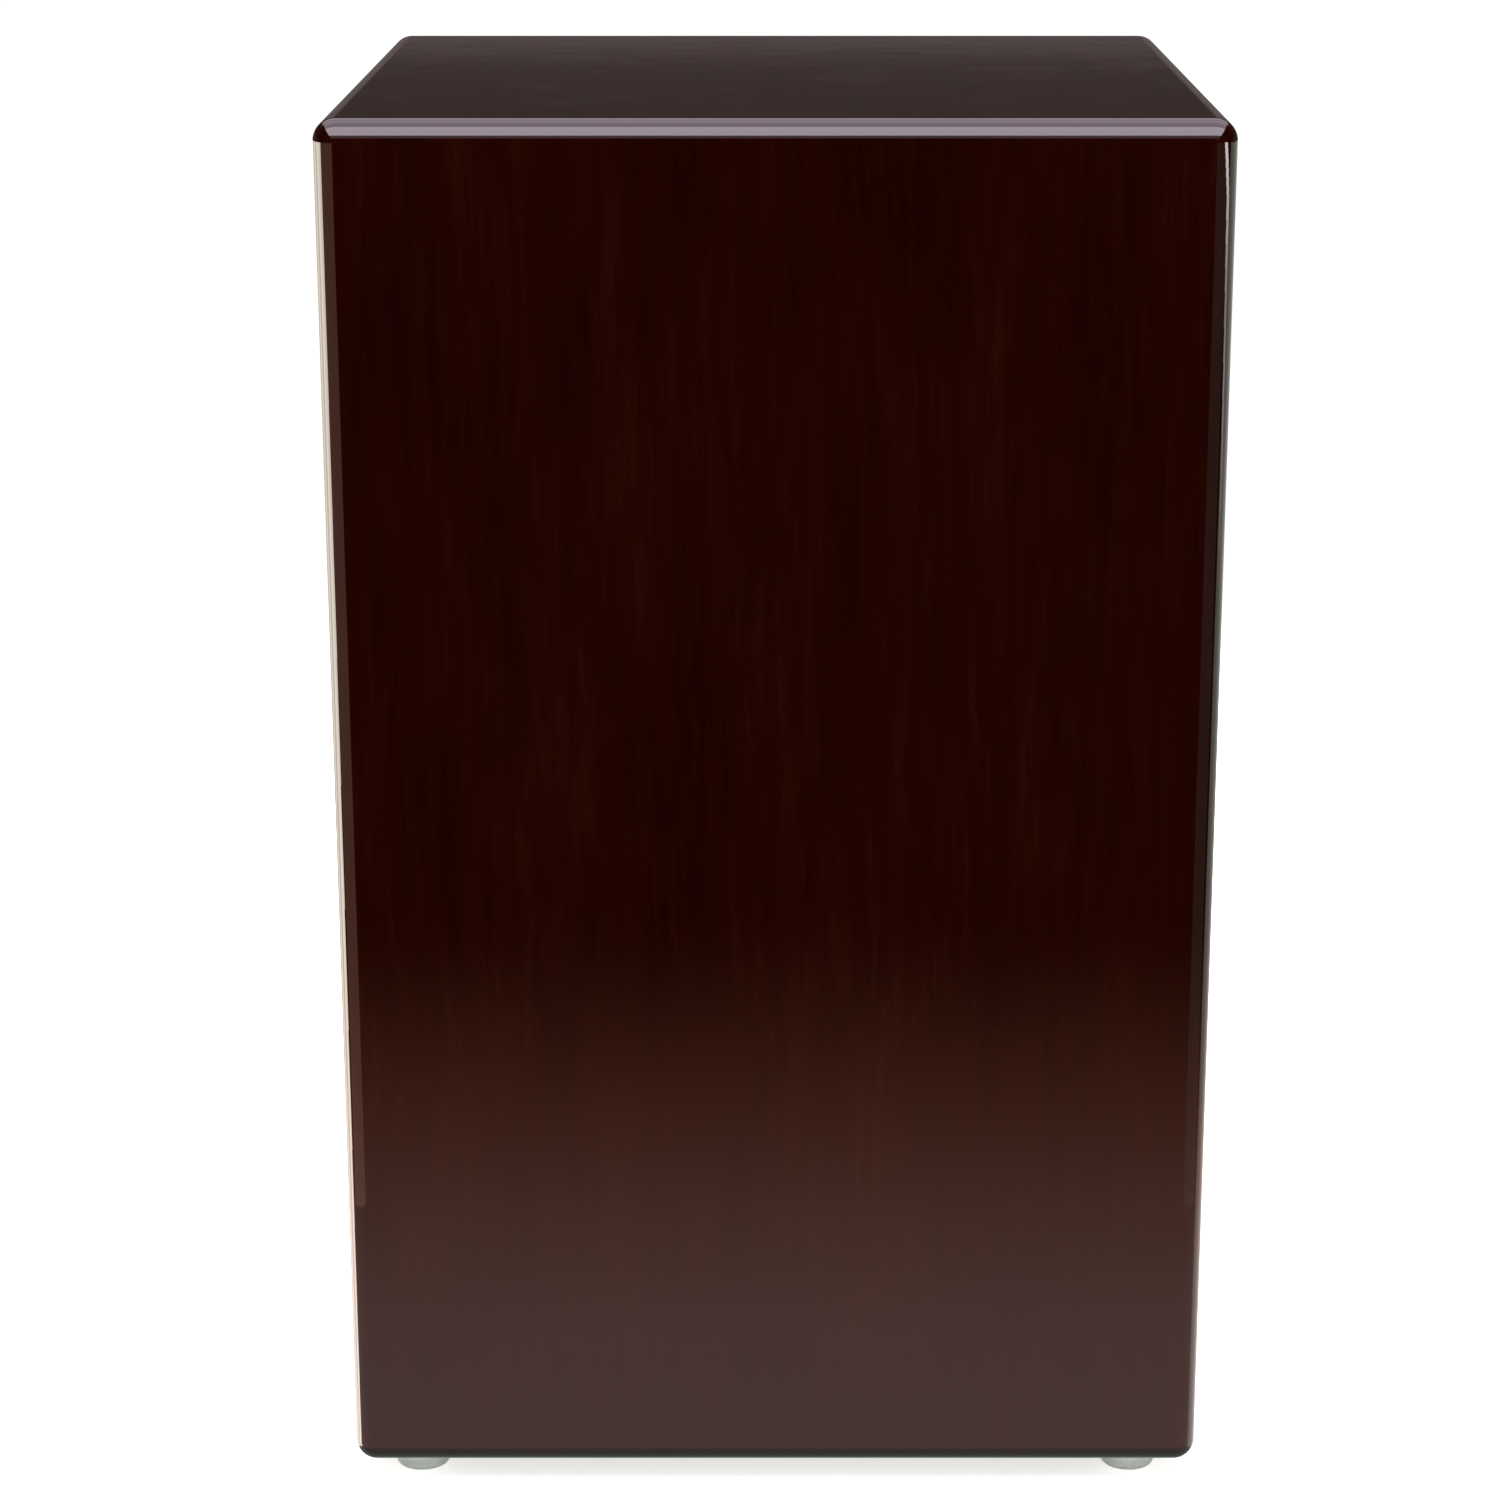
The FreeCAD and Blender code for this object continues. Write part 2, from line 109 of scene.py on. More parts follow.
# ---------------------------------------------------------------- node trees
class Bench:
    """A node tree while a finish is put together in it."""

    def __init__(self, tree: Tree) -> None:
        """Keeps the tree to work on."""
        self.tree = tree

    def place(self, kind: str, inputs: Inputs | None = None, **settings: object) -> Node:
        """Adds a node.

        Args:
            kind: the node's type name.
            inputs: a value or a socket for each named or numbered input.
            settings: the node's own options.

        Returns:
            The new node.
        """
        node = self.tree.nodes.new(kind)
        for name, setting in settings.items():
            setattr(node, name, setting)
        for name, value in (inputs or {}).items():
            if isinstance(value, Socket):
                self.tree.links.new(value, node.inputs[name])
            else:
                node.inputs[name].default_value = value
        return node

    def maths(self, operation: str, first: Value, second: Value = 0.0) -> Socket:
        """One step of arithmetic.

        Args:
            operation: the Math node's operation.
            first: the first number.
            second: the second number.

        Returns:
            The result's socket.
        """
        return self.place("ShaderNodeMath", {0: first, 1: second}, operation=operation).outputs[0]

    def add(self, first: Value, second: Value) -> Socket:
        """The two together."""
        return self.maths("ADD", first, second)

    def minus(self, first: Value, second: Value) -> Socket:
        """The first less the second."""
        return self.maths("SUBTRACT", first, second)

    def times(self, first: Value, second: Value) -> Socket:
        """The one times the other."""
        return self.maths("MULTIPLY", first, second)

    def spread(
        self, value: Value, low: float, high: float, start: float = 0.0, end: float = 1.0
    ) -> Socket:
        """Takes a value from one range smoothly to another and holds it there.

        Args:
            value: the number to change.
            low: where the change starts.
            high: where it ends.
            start: the result up to low.
            end: the result from high on.

        Returns:
            The result's socket.
        """
        inputs = {"Value": value, "From Min": low, "From Max": high, "To Min": start, "To Max": end}
        node = self.place("ShaderNodeMapRange", inputs, interpolation_type="SMOOTHSTEP")
        return node.outputs["Result"]

    def blend(self, share: Value, first: Value, second: Value, way: str = "MIX") -> Socket:
        """Mixes two colours.

        Args:
            share: how much of the second.
            first: the first colour.
            second: the second colour.
            way: the Mix node's blend type.

        Returns:
            The colour's socket.
        """
        inputs = {0: share, 6: first, 7: second}  # the colour mix's own sockets
        return self.place("ShaderNodeMix", inputs, data_type="RGBA", blend_type=way).outputs[2]

    def stretch(self, vector: Value, amounts: Triple) -> Socket:
        """Multiplies a vector along its three axes."""
        return self.place("ShaderNodeVectorMath", {0: vector, 1: amounts}, operation="MULTIPLY").outputs[0]

    def noise(self, vector: Value, size: float, detail: float = 2.0, rough: float = 0.5) -> Socket:
        """Soft noise, about 0.5 on average.

        Args:
            vector: where, in millimetres.
            size: the size of its features in the same unit.
            detail: how many finer layers it has.
            rough: how strong they are.

        Returns:
            The value's socket.
        """
        inputs = {"Vector": vector, "Scale": 1.0 / size, "Detail": detail, "Roughness": rough}
        return self.place("ShaderNodeTexNoise", inputs).outputs[0]

    def bump(self, height: Value, depth: float, below: Value | None = None) -> Socket:
        """Turns a height into a normal.

        Args:
            height: the relief, where 1 stands depth metres proud.
            depth: the relief's depth in metres.
            below: the normal of a coarser relief, if there is one.

        Returns:
            The normal's socket.
        """
        inputs: Inputs = {"Height": height, "Distance": depth, "Strength": 1.0}
        if below is not None:
            inputs["Normal"] = below
        return self.place("ShaderNodeBump", inputs).outputs["Normal"]

    def group(self, tree: Tree, inputs: Inputs) -> Node:
        """Places a shared effect."""
        return self.place("ShaderNodeGroup", inputs, node_tree=tree)

    def parts(self, vector: Value) -> bpy.types.bpy_prop_collection:
        """The outputs that give a vector's X, Y and Z."""
        return self.place("ShaderNodeSeparateXYZ", {0: vector}).outputs

    def in_mm(self, metres: Value) -> Socket:
        """Turns metres to millimetres."""
        return self.stretch(metres, (1 / MM, 1 / MM, 1 / MM))

    def place_on_piece(self, run: Run = Run.UPRIGHT) -> Socket:
        """The place on the piece, turned so that the fibres run along Z, in metres."""
        here = self.place("ShaderNodeTexCoord").outputs["Object"]
        inputs = {"Vector": here, "Rotation": run.value}
        return self.place("ShaderNodeMapping", inputs, vector_type="POINT").outputs[0]


def new_material(name: str) -> Material:
    """An empty material to be filled."""
    material = bpy.data.materials.new(name)
    material.use_nodes = True
    material.node_tree.nodes.clear()
    return material


# ---------------------------------------------------------------- shared effects
@dataclass(frozen=True)
class Strand:
    """One layer of the grain: noise drawn out along Z."""

    width: float  # in mm
    squeeze: float  # its width over its length
    detail: float
    rough: float = 0.5

    def show(self, bench: Bench, place: Socket) -> Socket:
        """Places it, for a place in millimetres."""
        drawn = bench.stretch(place, (1.0, 1.0, self.squeeze))
        return bench.noise(drawn, self.width, self.detail, self.rough)


FIBRE = Strand(0.55, 0.03, 3.0, 0.6)
STREAK = Strand(3.2, 0.06, 2.0)
BAND = Strand(24.0, 0.22, 2.0)
DASH = Strand(0.34, 0.09, 1.0)
GRAIN_DRIFT = 70  # how slowly the grain wanders, in mm
GRAIN_WANDER = 7.0  # and how far
PORE_SHADE = 0.7
FIBRE_RELIEF = 0.4  # of the pores' depth
SMUDGE_SIZE = 38.0  # these three in mm
SCRATCH_SPACING = 2.4
SCRATCHED_PATCH = 21.0
SCRATCH_WIDTH = 0.006  # in steps of the noise
SCRATCH_ROUGHNESS = 0.2
SCRATCHES = ((0.5, 0.045), (1.9, 0.06), (2.7, 0.05))  # the turn and the squeeze of each set


class Effects:
    """The node groups that several finishes share, each built once."""

    def __init__(self) -> None:
        """Builds them all."""
        self.grain = self._grain()
        self.handling = self._handling()
        self.plies = self._plies()

    @staticmethod
    def _start(name: str, inputs: dict[str, str], outputs: dict[str, str]) -> tuple[Bench, Node, Node]:
        """Opens a new group.

        Args:
            name: the group's name.
            inputs: each input's name and kind of socket.
            outputs: each output's name and kind of socket.

        Returns:
            The bench, the node that gives the inputs and the node that takes the outputs.
        """
        tree = bpy.data.node_groups.new(name, "ShaderNodeTree")
        for socket, kind in inputs.items():
            tree.interface.new_socket(name=socket, in_out="INPUT", socket_type=f"NodeSocket{kind}")
        for socket, kind in outputs.items():
            tree.interface.new_socket(name=socket, in_out="OUTPUT", socket_type=f"NodeSocket{kind}")
        bench = Bench(tree)
        return bench, bench.place("NodeGroupInput"), bench.place("NodeGroupOutput")

    @staticmethod
    def _end(bench: Bench, taker: Node, results: dict[str, Socket]) -> Tree:
        """Joins the results to the group's outputs and returns the group."""
        for name, socket in results.items():
            bench.tree.links.new(socket, taker.inputs[name])
        return bench.tree

    def _grain(self) -> Tree:
        """Fibres, streaks, bands and pores that run along Z."""
        bench, given, taker = self._start(
            "wood grain",
            {
                "Vector": "Vector",
                "Base": "Color",
                "Dark": "Color",
                "Light": "Color",
                "Fibres": "Float",
                "Streaks": "Float",
                "Bands": "Float",
                "Pores": "Float",
            },
            {"Color": "Color", "Pores": "Float", "Height": "Float"},
        )
        place = bench.in_mm(given.outputs["Vector"])
        slow = {"Vector": place, "Scale": 1 / GRAIN_DRIFT, "Detail": 1.0}
        drift = bench.place("ShaderNodeTexNoise", slow).outputs["Color"]
        moved = {0: drift, 1: (GRAIN_WANDER, GRAIN_WANDER, 0.0), 2: place}
        wander = bench.place("ShaderNodeVectorMath", moved, operation="MULTIPLY_ADD").outputs[0]
        fibre = FIBRE.show(bench, wander)
        streak = STREAK.show(bench, wander)
        band = BAND.show(bench, wander)
        tone = bench.add(0.5, self._lean(bench, fibre, given.outputs["Fibres"]))
        tone = bench.add(tone, self._lean(bench, streak, given.outputs["Streaks"]))
        tone = bench.add(tone, self._lean(bench, band, given.outputs["Bands"]))
        deep = bench.blend(bench.spread(tone, 0.15, 0.5), given.outputs["Dark"], given.outputs["Base"])
        colour = bench.blend(bench.spread(tone, 0.5, 0.85), deep, given.outputs["Light"])
        dash = DASH.show(bench, wander)
        patch = bench.spread(streak, 0.35, 0.6, 0.35, 1.0)
        pore = bench.times(bench.spread(dash, 0.63, 0.7), patch)
        pore = bench.times(pore, given.outputs["Pores"])
        colour = bench.blend(bench.times(pore, PORE_SHADE), colour, given.outputs["Dark"])
        height = bench.minus(bench.times(fibre, FIBRE_RELIEF), pore)
        return self._end(bench, taker, {"Color": colour, "Pores": pore, "Height": height})

    @staticmethod
    def _lean(bench: Bench, noise: Socket, amount: Value) -> Socket:
        """The noise about zero, times an amount."""
        return bench.times(bench.minus(noise, 0.5), amount)

    def _handling(self) -> Tree:
        """Smudges and hairlines of a surface that has been handled."""
        bench, given, taker = self._start(
            "handling marks",
            {"Vector": "Vector", "Smudges": "Float", "Hairlines": "Float"},
            {"Roughness": "Float", "Height": "Float"},
        )
        place = bench.in_mm(given.outputs["Vector"])
        smudge = bench.spread(bench.noise(place, SMUDGE_SIZE, 4.0, 0.55), 0.48, 0.78)
        lines: Socket | None = None
        for turn, squeeze in SCRATCHES:
            turned = bench.place(
                "ShaderNodeMapping",
                {"Vector": place, "Rotation": (turn, turn * 1.7, turn * 0.6)},
                vector_type="POINT",
            ).outputs[0]
            wave = bench.noise(bench.stretch(turned, (1.0, 0.35, squeeze)), SCRATCH_SPACING, 1.0)
            off = bench.maths("ABSOLUTE", bench.minus(wave, 0.5))
            line = bench.spread(off, 0.0, SCRATCH_WIDTH, 1.0, 0.0)
            lines = line if lines is None else bench.maths("MAXIMUM", lines, line)
        patch = bench.spread(bench.noise(place, SCRATCHED_PATCH, 2.0), 0.52, 0.66)
        lines = bench.times(bench.times(lines, patch), given.outputs["Hairlines"])
        smudge = bench.times(smudge, given.outputs["Smudges"])
        height = bench.times(lines, -1.0)
        rough = bench.add(smudge, bench.times(lines, SCRATCH_ROUGHNESS))
        return self._end(bench, taker, {"Roughness": rough, "Height": height})

    def _plies(self) -> Tree:
        """The layers that show on the edge of plywood."""
        bench, given, taker = self._start(
            "ply layers",
            {"Depth": "Float", "Sheet": "Float"},
            {"Cross": "Float", "Glue": "Float"},
        )
        count = bench.maths("DIVIDE", given.outputs["Depth"], given.outputs["Sheet"])
        cross = bench.maths("FLOORED_MODULO", bench.maths("FLOOR", count), 2.0)
        joint = bench.maths("PINGPONG", count, 0.5)
        glue = bench.spread(joint, 0.03, 0.09, 1.0, 0.0)
        return self._end(bench, taker, {"Cross": cross, "Glue": glue})


# ---------------------------------------------------------------- finishes
class PieceBench(Bench):
    """The tree of a piece's finish, with the shared effects and the place on the piece at hand."""

    def __init__(self, tree: Tree, effects: Effects, run: Run) -> None:
        """Keeps the effects and reads the place, turned so that the fibres run along Z."""
        super().__init__(tree)
        self.effects = effects
        self.here = self.place_on_piece(run)


@dataclass(frozen=True, kw_only=True)
class Finish:
    """How smooth a surface is, how deep its relief, and what handling has left on it."""

    name: str
    run: Run = Run.UPRIGHT
    roughness: float = 0.5
    relief: float = 4e-5  # in metres
    smudges: float = 0.1
    hairlines: float = 0.4

    def label(self) -> str:
        """The material's name."""
        return self.name

    def surface(self, bench: PieceBench) -> Inputs:
        """Puts the surface together: each finish has its own."""
        raise NotImplementedError

    def worn(self, bench: PieceBench) -> tuple[Socket, Socket]:
        """Adds the marks of handling.

        Args:
            bench: the material's tree.

        Returns:
            The roughness with its marks, and the marks' height.
        """
        inputs = {"Vector": bench.here, "Smudges": self.smudges, "Hairlines": self.hairlines}
        marks = bench.group(bench.effects.handling, inputs).outputs
        return bench.add(marks["Roughness"], self.roughness), marks["Height"]

    def material(self, effects: Effects) -> Material:
        """Makes the material.

        Args:
            effects: the shared groups.

        Returns:
            The material.
        """
        material = new_material(self.label())
        bench = PieceBench(material.node_tree, effects, self.run)
        surface = bench.place("ShaderNodeBsdfPrincipled", self.surface(bench)).outputs[0]
        bench.place("ShaderNodeOutputMaterial", {"Surface": surface})
        return material


@dataclass(frozen=True, kw_only=True)
class Wood(Finish):
    """A wood: its three colours, and how strong its fibres, streaks, bands and pores are."""

    base: Colour
    dark: Colour
    light: Colour
    grain: Grain

    def label(self) -> str:
        """The material's name, with the way of its fibres."""
        return f"{self.name} {self.run.name.lower()}"

    def grained(self, bench: PieceBench) -> tuple[Socket, Socket]:
        """Places the grain in this wood's colours.

        Args:
            bench: the material's tree.

        Returns:
            The colour and the height of the grain.
        """
        inputs: Inputs = {"Vector": bench.here, "Base": self.base, "Dark": self.dark, "Light": self.light}
        inputs.update(zip(("Fibres", "Streaks", "Bands", "Pores"), self.grain))
        outputs = bench.group(bench.effects.grain, inputs).outputs
        return outputs["Color"], outputs["Height"]


@dataclass(frozen=True, kw_only=True)
class Lacquer(Wood):
    """Stained veneer under a poured gloss lacquer."""

    joints: "Joints"
    name: str = "gloss lacquer"
    base: Colour = (0.0094, 0.0008, 0.00020, 1.0)
    dark: Colour = (0.0060, 0.0004, 0.00010, 1.0)
    light: Colour = (0.0140, 0.0018, 0.00045, 1.0)
    grain: Grain = (0.75, 0.8, 0.8, 0.55)
    roughness: float = 0.045
    relief: float = 1.2e-5
    smudges: float = 0.035
    hairlines: float = 0.25
    flow: float = 16.0  # wavelength of the lacquer's own waviness, in mm
    ripple: float = 2.6  # and of the finer ripple on it
    ripple_share: float = 0.035
    seam_shade: float = 0.6
    seam_dip: float = 0.25
    grain_share: float = 0.01  # how much of the grain's relief comes through

    def surface(self, bench: PieceBench) -> Inputs:
        """Stained grain with faint joint lines, under the lacquer's flow.

        Args:
            bench: the material's tree.

        Returns:
            The shader's inputs.
        """
        colour, height = self.grained(bench)
        seam = self.joints.seam(bench)
        colour = bench.blend(self.joints.tapa_edge(bench), colour, self.dark)
        colour = bench.blend(bench.times(seam, self.seam_shade), colour, self.dark)
        rough, _ = self.worn(bench)
        place = bench.in_mm(bench.here)
        flow = bench.noise(place, self.flow, 1.0)
        flow = bench.add(flow, bench.times(bench.noise(place, self.ripple, 0.0), self.ripple_share))
        flow = bench.minus(flow, bench.times(seam, self.seam_dip))
        flow = bench.add(flow, bench.times(height, self.grain_share))
        normal = bench.bump(flow, self.relief)
        return {"Base Color": colour, "Roughness": rough, "IOR": 1.5, "Normal": normal}


@dataclass(frozen=True, kw_only=True)
class RawPly(Wood):
    """Sanded birch plywood without any finish, as it is inside the box."""

    name: str = "raw birch ply"
    base: Colour = (0.50, 0.335, 0.185, 1.0)
    dark: Colour = (0.34, 0.20, 0.095, 1.0)
    light: Colour = (0.62, 0.45, 0.27, 1.0)
    grain: Grain = (0.6, 0.55, 0.9, 0.35)
    roughness: float = 0.55
    relief: float = 6e-5
    smudges: float = 0.12
    hairlines: float = 0.5

    def surface(self, bench: PieceBench) -> Inputs:
        """Bare grain.

        Args:
            bench: the material's tree.

        Returns:
            The shader's inputs.
        """
        colour, height = self.grained(bench)
        rough, _ = self.worn(bench)
        return {"Base Color": colour, "Roughness": rough, "Normal": bench.bump(height, self.relief)}


@dataclass(frozen=True, kw_only=True)
class BoredEdge(Finish):
    """The wall of the sound hole: plies, stained and lacquered."""

    face: float  # y of the panel's outer face
    name: str = "stained ply edge"
    roughness: float = 0.16
    hairlines: float = 0.3
    sheet: float = 1.2  # thickness of one ply, in mm
    wobble: float = 0.35  # how far the plies wander, in mm
    glue_shade: float = 0.8
    fibre_relief: float = -0.5
    along: Colour = (0.040, 0.0125, 0.0045, 1.0)
    across: Colour = (0.016, 0.0040, 0.0016, 1.0)
    glue: Colour = (0.0055, 0.0018, 0.0010, 1.0)

    def surface(self, bench: PieceBench) -> Inputs:
        """Plies and glue lines by their depth from the outer face.

        Args:
            bench: the material's tree.

        Returns:
            The shader's inputs.
        """
        depth = bench.times(bench.minus(self.face, bench.parts(bench.here)["Y"]), 1 / MM)
        place = bench.in_mm(bench.here)
        ripple = bench.noise(place, 17.0, 2.0)
        depth = bench.add(depth, bench.times(bench.minus(ripple, 0.5), self.wobble))
        layers = bench.group(bench.effects.plies, {"Depth": depth, "Sheet": self.sheet}).outputs
        fibres = bench.noise(bench.stretch(place, (1.0, 0.2, 1.0)), 0.8, 4.0, 0.65)
        colour = bench.blend(layers["Cross"], self.along, self.across)
        colour = bench.blend(bench.spread(fibres, 0.4, 0.75, 0.0, 0.7), colour, self.glue)
        colour = bench.blend(bench.times(layers["Glue"], self.glue_shade), colour, self.glue)
        height = bench.minus(bench.times(fibres, self.fibre_relief), layers["Glue"])
        rough, _ = self.worn(bench)
        return {"Base Color": colour, "Roughness": rough, "Normal": bench.bump(height, self.relief)}


@dataclass(frozen=True, kw_only=True)
class Softwood(Wood):
    """Planed pine or spruce with its growth rings."""

    name: str = "planed softwood"
    base: Colour = (0.56, 0.345, 0.165, 1.0)
    dark: Colour = (0.35, 0.165, 0.058, 1.0)
    light: Colour = (0.68, 0.47, 0.26, 1.0)
    grain: Grain = (0.45, 0.35, 0.5, 0.15)
    relief: float = 7e-5
    ring: float = 2.3  # spacing of the growth rings, in mm
    ring_shade: float = 0.75
    ring_relief: float = 0.6
    warp: float = 6.0  # how far the rings wander, in mm

    def surface(self, bench: PieceBench) -> Inputs:
        """Grain with dark late wood, which stands a little proud.

        Args:
            bench: the material's tree.

        Returns:
            The shader's inputs.
        """
        colour, height = self.grained(bench)
        place = bench.in_mm(bench.here)
        warp = bench.noise(bench.stretch(place, (1.0, 1.0, 0.08)), 14.0, 2.0)
        parts = bench.parts(place)
        across = bench.add(bench.times(parts["X"], 0.8), bench.times(parts["Y"], 0.6))
        across = bench.add(across, bench.times(warp, self.warp))
        year = bench.maths("FRACT", bench.maths("DIVIDE", across, self.ring))
        late = bench.times(bench.spread(year, 0.45, 0.93), bench.spread(year, 0.93, 1.0, 1.0, 0.0))
        colour = bench.blend(bench.times(late, self.ring_shade), colour, self.dark)
        rough, _ = self.worn(bench)
        normal = bench.bump(bench.add(height, bench.times(late, self.ring_relief)), self.relief)
        return {"Base Color": colour, "Roughness": rough, "Normal": normal}


@dataclass(frozen=True, kw_only=True)
class Beech(Wood):
    """Turned and sanded beech with its short dark flecks."""

    name: str = "sanded beech"
    base: Colour = (0.55, 0.335, 0.185, 1.0)
    dark: Colour = (0.33, 0.165, 0.075, 1.0)
    light: Colour = (0.66, 0.45, 0.28, 1.0)
    grain: Grain = (0.5, 0.45, 0.5, 0.2)
    roughness: float = 0.38
    smudges: float = 0.14
    fleck: float = 0.62  # width of a fleck, in mm
    fleck_shade: float = 0.6

    def surface(self, bench: PieceBench) -> Inputs:
        """Grain with flecks.

        Args:
            bench: the material's tree.

        Returns:
            The shader's inputs.
        """
        colour, height = self.grained(bench)
        place = bench.stretch(bench.in_mm(bench.here), (1.0, 1.0, 0.3))
        fleck = bench.spread(bench.noise(place, self.fleck, 0.0), 0.66, 0.72)
        colour = bench.blend(bench.times(fleck, self.fleck_shade), colour, self.dark)
        rough, _ = self.worn(bench)
        return {"Base Color": colour, "Roughness": rough, "Normal": bench.bump(height, self.relief)}


@dataclass(frozen=True, kw_only=True)
class Metal(Finish):
    """Bright or plated steel."""

    bright: Colour
    dull: Colour
    clouds: float  # size of the plating's clouds, in mm
    pitted: Colour = (0.16, 0.15, 0.14, 1.0)
    pits: float = 0.35  # size of a pit, in mm
    pit_shade: float = 0.45
    cloud_roughness: float = 0.1
    relief: float = 1.2e-5
    smudges: float = 0.12

    def surface(self, bench: PieceBench) -> Inputs:
        """Cloudy metal with fine pits and scratches.

        Args:
            bench: the material's tree.

        Returns:
            The shader's inputs.
        """
        place = bench.in_mm(bench.here)
        cloud = bench.spread(bench.noise(place, self.clouds, 3.0, 0.6), 0.35, 0.7)
        pit = bench.spread(bench.noise(place, self.pits, 1.0), 0.66, 0.74)
        colour = bench.blend(cloud, self.bright, self.dull)
        colour = bench.blend(bench.times(pit, self.pit_shade), colour, self.pitted)
        rough, scratches = self.worn(bench)
        rough = bench.add(rough, bench.times(cloud, self.cloud_roughness))
        normal = bench.bump(bench.minus(scratches, pit), self.relief)
        return {"Base Color": colour, "Metallic": 1.0, "Roughness": rough, "Normal": normal}


@dataclass(frozen=True, kw_only=True)
class WoolFelt(Finish):
    """Dark pressed wool."""

    name: str = "pressed wool felt"
    base: Colour = (0.085, 0.083, 0.085, 1.0)
    light: Colour = (0.19, 0.185, 0.18, 1.0)
    relief: float = 1.6e-4

    def surface(self, bench: PieceBench) -> Inputs:
        """Matted fibres with a soft sheen.

        Args:
            bench: the material's tree.

        Returns:
            The shader's inputs.
        """
        place = bench.in_mm(bench.here)
        fibre = bench.noise(place, 0.32, 4.0, 0.75)
        clump = bench.noise(place, 2.2, 2.0)
        worked = bench.spread(bench.times(fibre, clump), 0.18, 0.38)
        return {
            "Base Color": bench.blend(worked, self.base, self.light),
            "Roughness": bench.spread(clump, 0.3, 0.7, 0.88, 0.98),
            "Sheen Weight": 0.35,
            "Sheen Roughness": 0.6,
            "Normal": bench.bump(bench.add(fibre, clump), self.relief),
        }


@dataclass(frozen=True, kw_only=True)
class ClearRubber(Finish):
    """Soft translucent grey rubber, with painted shade that darkens its rim at the floor."""

    name: str = "clear grey rubber"
    base: Colour = (0.87, 0.89, 0.86, 1.0)
    milky: Colour = (0.94, 0.95, 0.925, 1.0)
    # the colour of the painted shade on the rim at the floor
    floor_rim_shade: Colour = (0.52, 0.51, 0.47, 1.0)
    roughness: float = 0.28
    # the rim at the floor is also rougher
    floor_rim_roughness: float = 0.25
    relief: float = 3e-5
    smudges: float = 0.2
    hairlines: float = 0.3
    uneven: float = 1.6  # how far the painted rim shade climbs unevenly, in mm

    def surface(self, bench: PieceBench) -> Inputs:
        """Milky rubber with painted shade, darker and rougher at the floor, that thins out upwards.

        Args:
            bench: the material's tree.

        Returns:
            The shader's inputs.
        """
        place = bench.in_mm(bench.here)
        haze = bench.spread(bench.noise(place, 4.5, 3.0), 0.35, 0.7)
        colour = bench.blend(haze, self.base, self.milky)
        level = bench.add(bench.parts(place)["Z"], bench.times(bench.noise(place, 1.4, 3.0), self.uneven))
        # painted shade: the rubber turns darker and rougher towards the floor, fading out from 1.1 to 2.6 mm up
        floor_rim_share = bench.spread(level, 1.1, 2.6, 0.75, 0.0)
        rough, _ = self.worn(bench)
        return {
            "Base Color": bench.blend(floor_rim_share, colour, self.floor_rim_shade),
            "Roughness": bench.add(rough, bench.times(floor_rim_share, self.floor_rim_roughness)),
            "IOR": 1.42,
            "Transmission Weight": 0.5,
            "Subsurface Weight": 0.25,
            "Subsurface Radius": (0.004, 0.004, 0.004),
            "Normal": bench.bump(bench.noise(place, 0.9, 2.0), self.relief),
        }


@dataclass(frozen=True, kw_only=True)
class AdhesiveFilm(Finish):
    """A thin whitish double-sided film."""

    name: str = "adhesive film"
    base: Colour = (0.70, 0.69, 0.64, 1.0)
    stained: Colour = (0.52, 0.47, 0.38, 1.0)

    def surface(self, bench: PieceBench) -> Inputs:
        """Film with small bubbles and stains.

        Args:
            bench: the material's tree.

        Returns:
            The shader's inputs.
        """
        bubble = bench.noise(bench.in_mm(bench.here), 1.8, 3.0, 0.6)
        return {
            "Base Color": bench.blend(bench.spread(bubble, 0.4, 0.7), self.base, self.stained),
            "Roughness": bench.spread(bubble, 0.3, 0.7, 0.35, 0.6),
            "Normal": bench.bump(bubble, self.relief),
        }


@dataclass(frozen=True)
class Joints:
    """Where the panels meet, for the fine lines that show through the lacquer."""

    front: float  # y where the tapa lies on the shell
    back: float  # y where the rear panel lies on the shell
    half_width: float
    top: float
    bottom: float
    tapa_ply: float = 1.0  # thickness of one ply of the tapa, in mm
    line: float = 0.16 * MM

    def seam(self, bench: Bench) -> Socket:
        """Marks the joint lines.

        Args:
            bench: the material's tree.

        Returns:
            The mask.
        """
        parts = bench.parts(bench.place_on_piece())
        front = bench.maths("ABSOLUTE", bench.minus(parts["Y"], self.front))
        back = bench.maths("ABSOLUTE", bench.minus(parts["Y"], self.back))
        side = bench.minus(bench.maths("ABSOLUTE", parts["X"]), self.half_width)
        above = bench.maths("ABSOLUTE", bench.minus(side, bench.minus(parts["Z"], self.top)))
        below = bench.maths("ABSOLUTE", bench.add(side, bench.minus(parts["Z"], self.bottom)))
        nearest = front
        for line in (back, above, below):
            nearest = bench.maths("MINIMUM", nearest, line)
        return bench.spread(nearest, self.line * 0.3, self.line, 1.0, 0.0)

    def tapa_edge(self, bench: PieceBench) -> Socket:
        """Marks the plies and glue lines on the tapa's edge.

        Args:
            bench: the material's tree.

        Returns:
            The mask.
        """
        parts = bench.parts(bench.place_on_piece())
        depth = bench.times(bench.minus(self.front, parts["Y"]), 1 / MM)
        layers = bench.group(bench.effects.plies, {"Depth": depth, "Sheet": self.tapa_ply}).outputs
        inside = bench.spread(depth, 2.7, 2.9, 1.0, 0.0)  # the tapa is 3 mm thick
        inside = bench.times(bench.spread(depth, 0.0, 0.1), inside)
        shade = bench.times(bench.add(layers["Cross"], layers["Glue"]), 0.3)
        return bench.times(shade, inside)


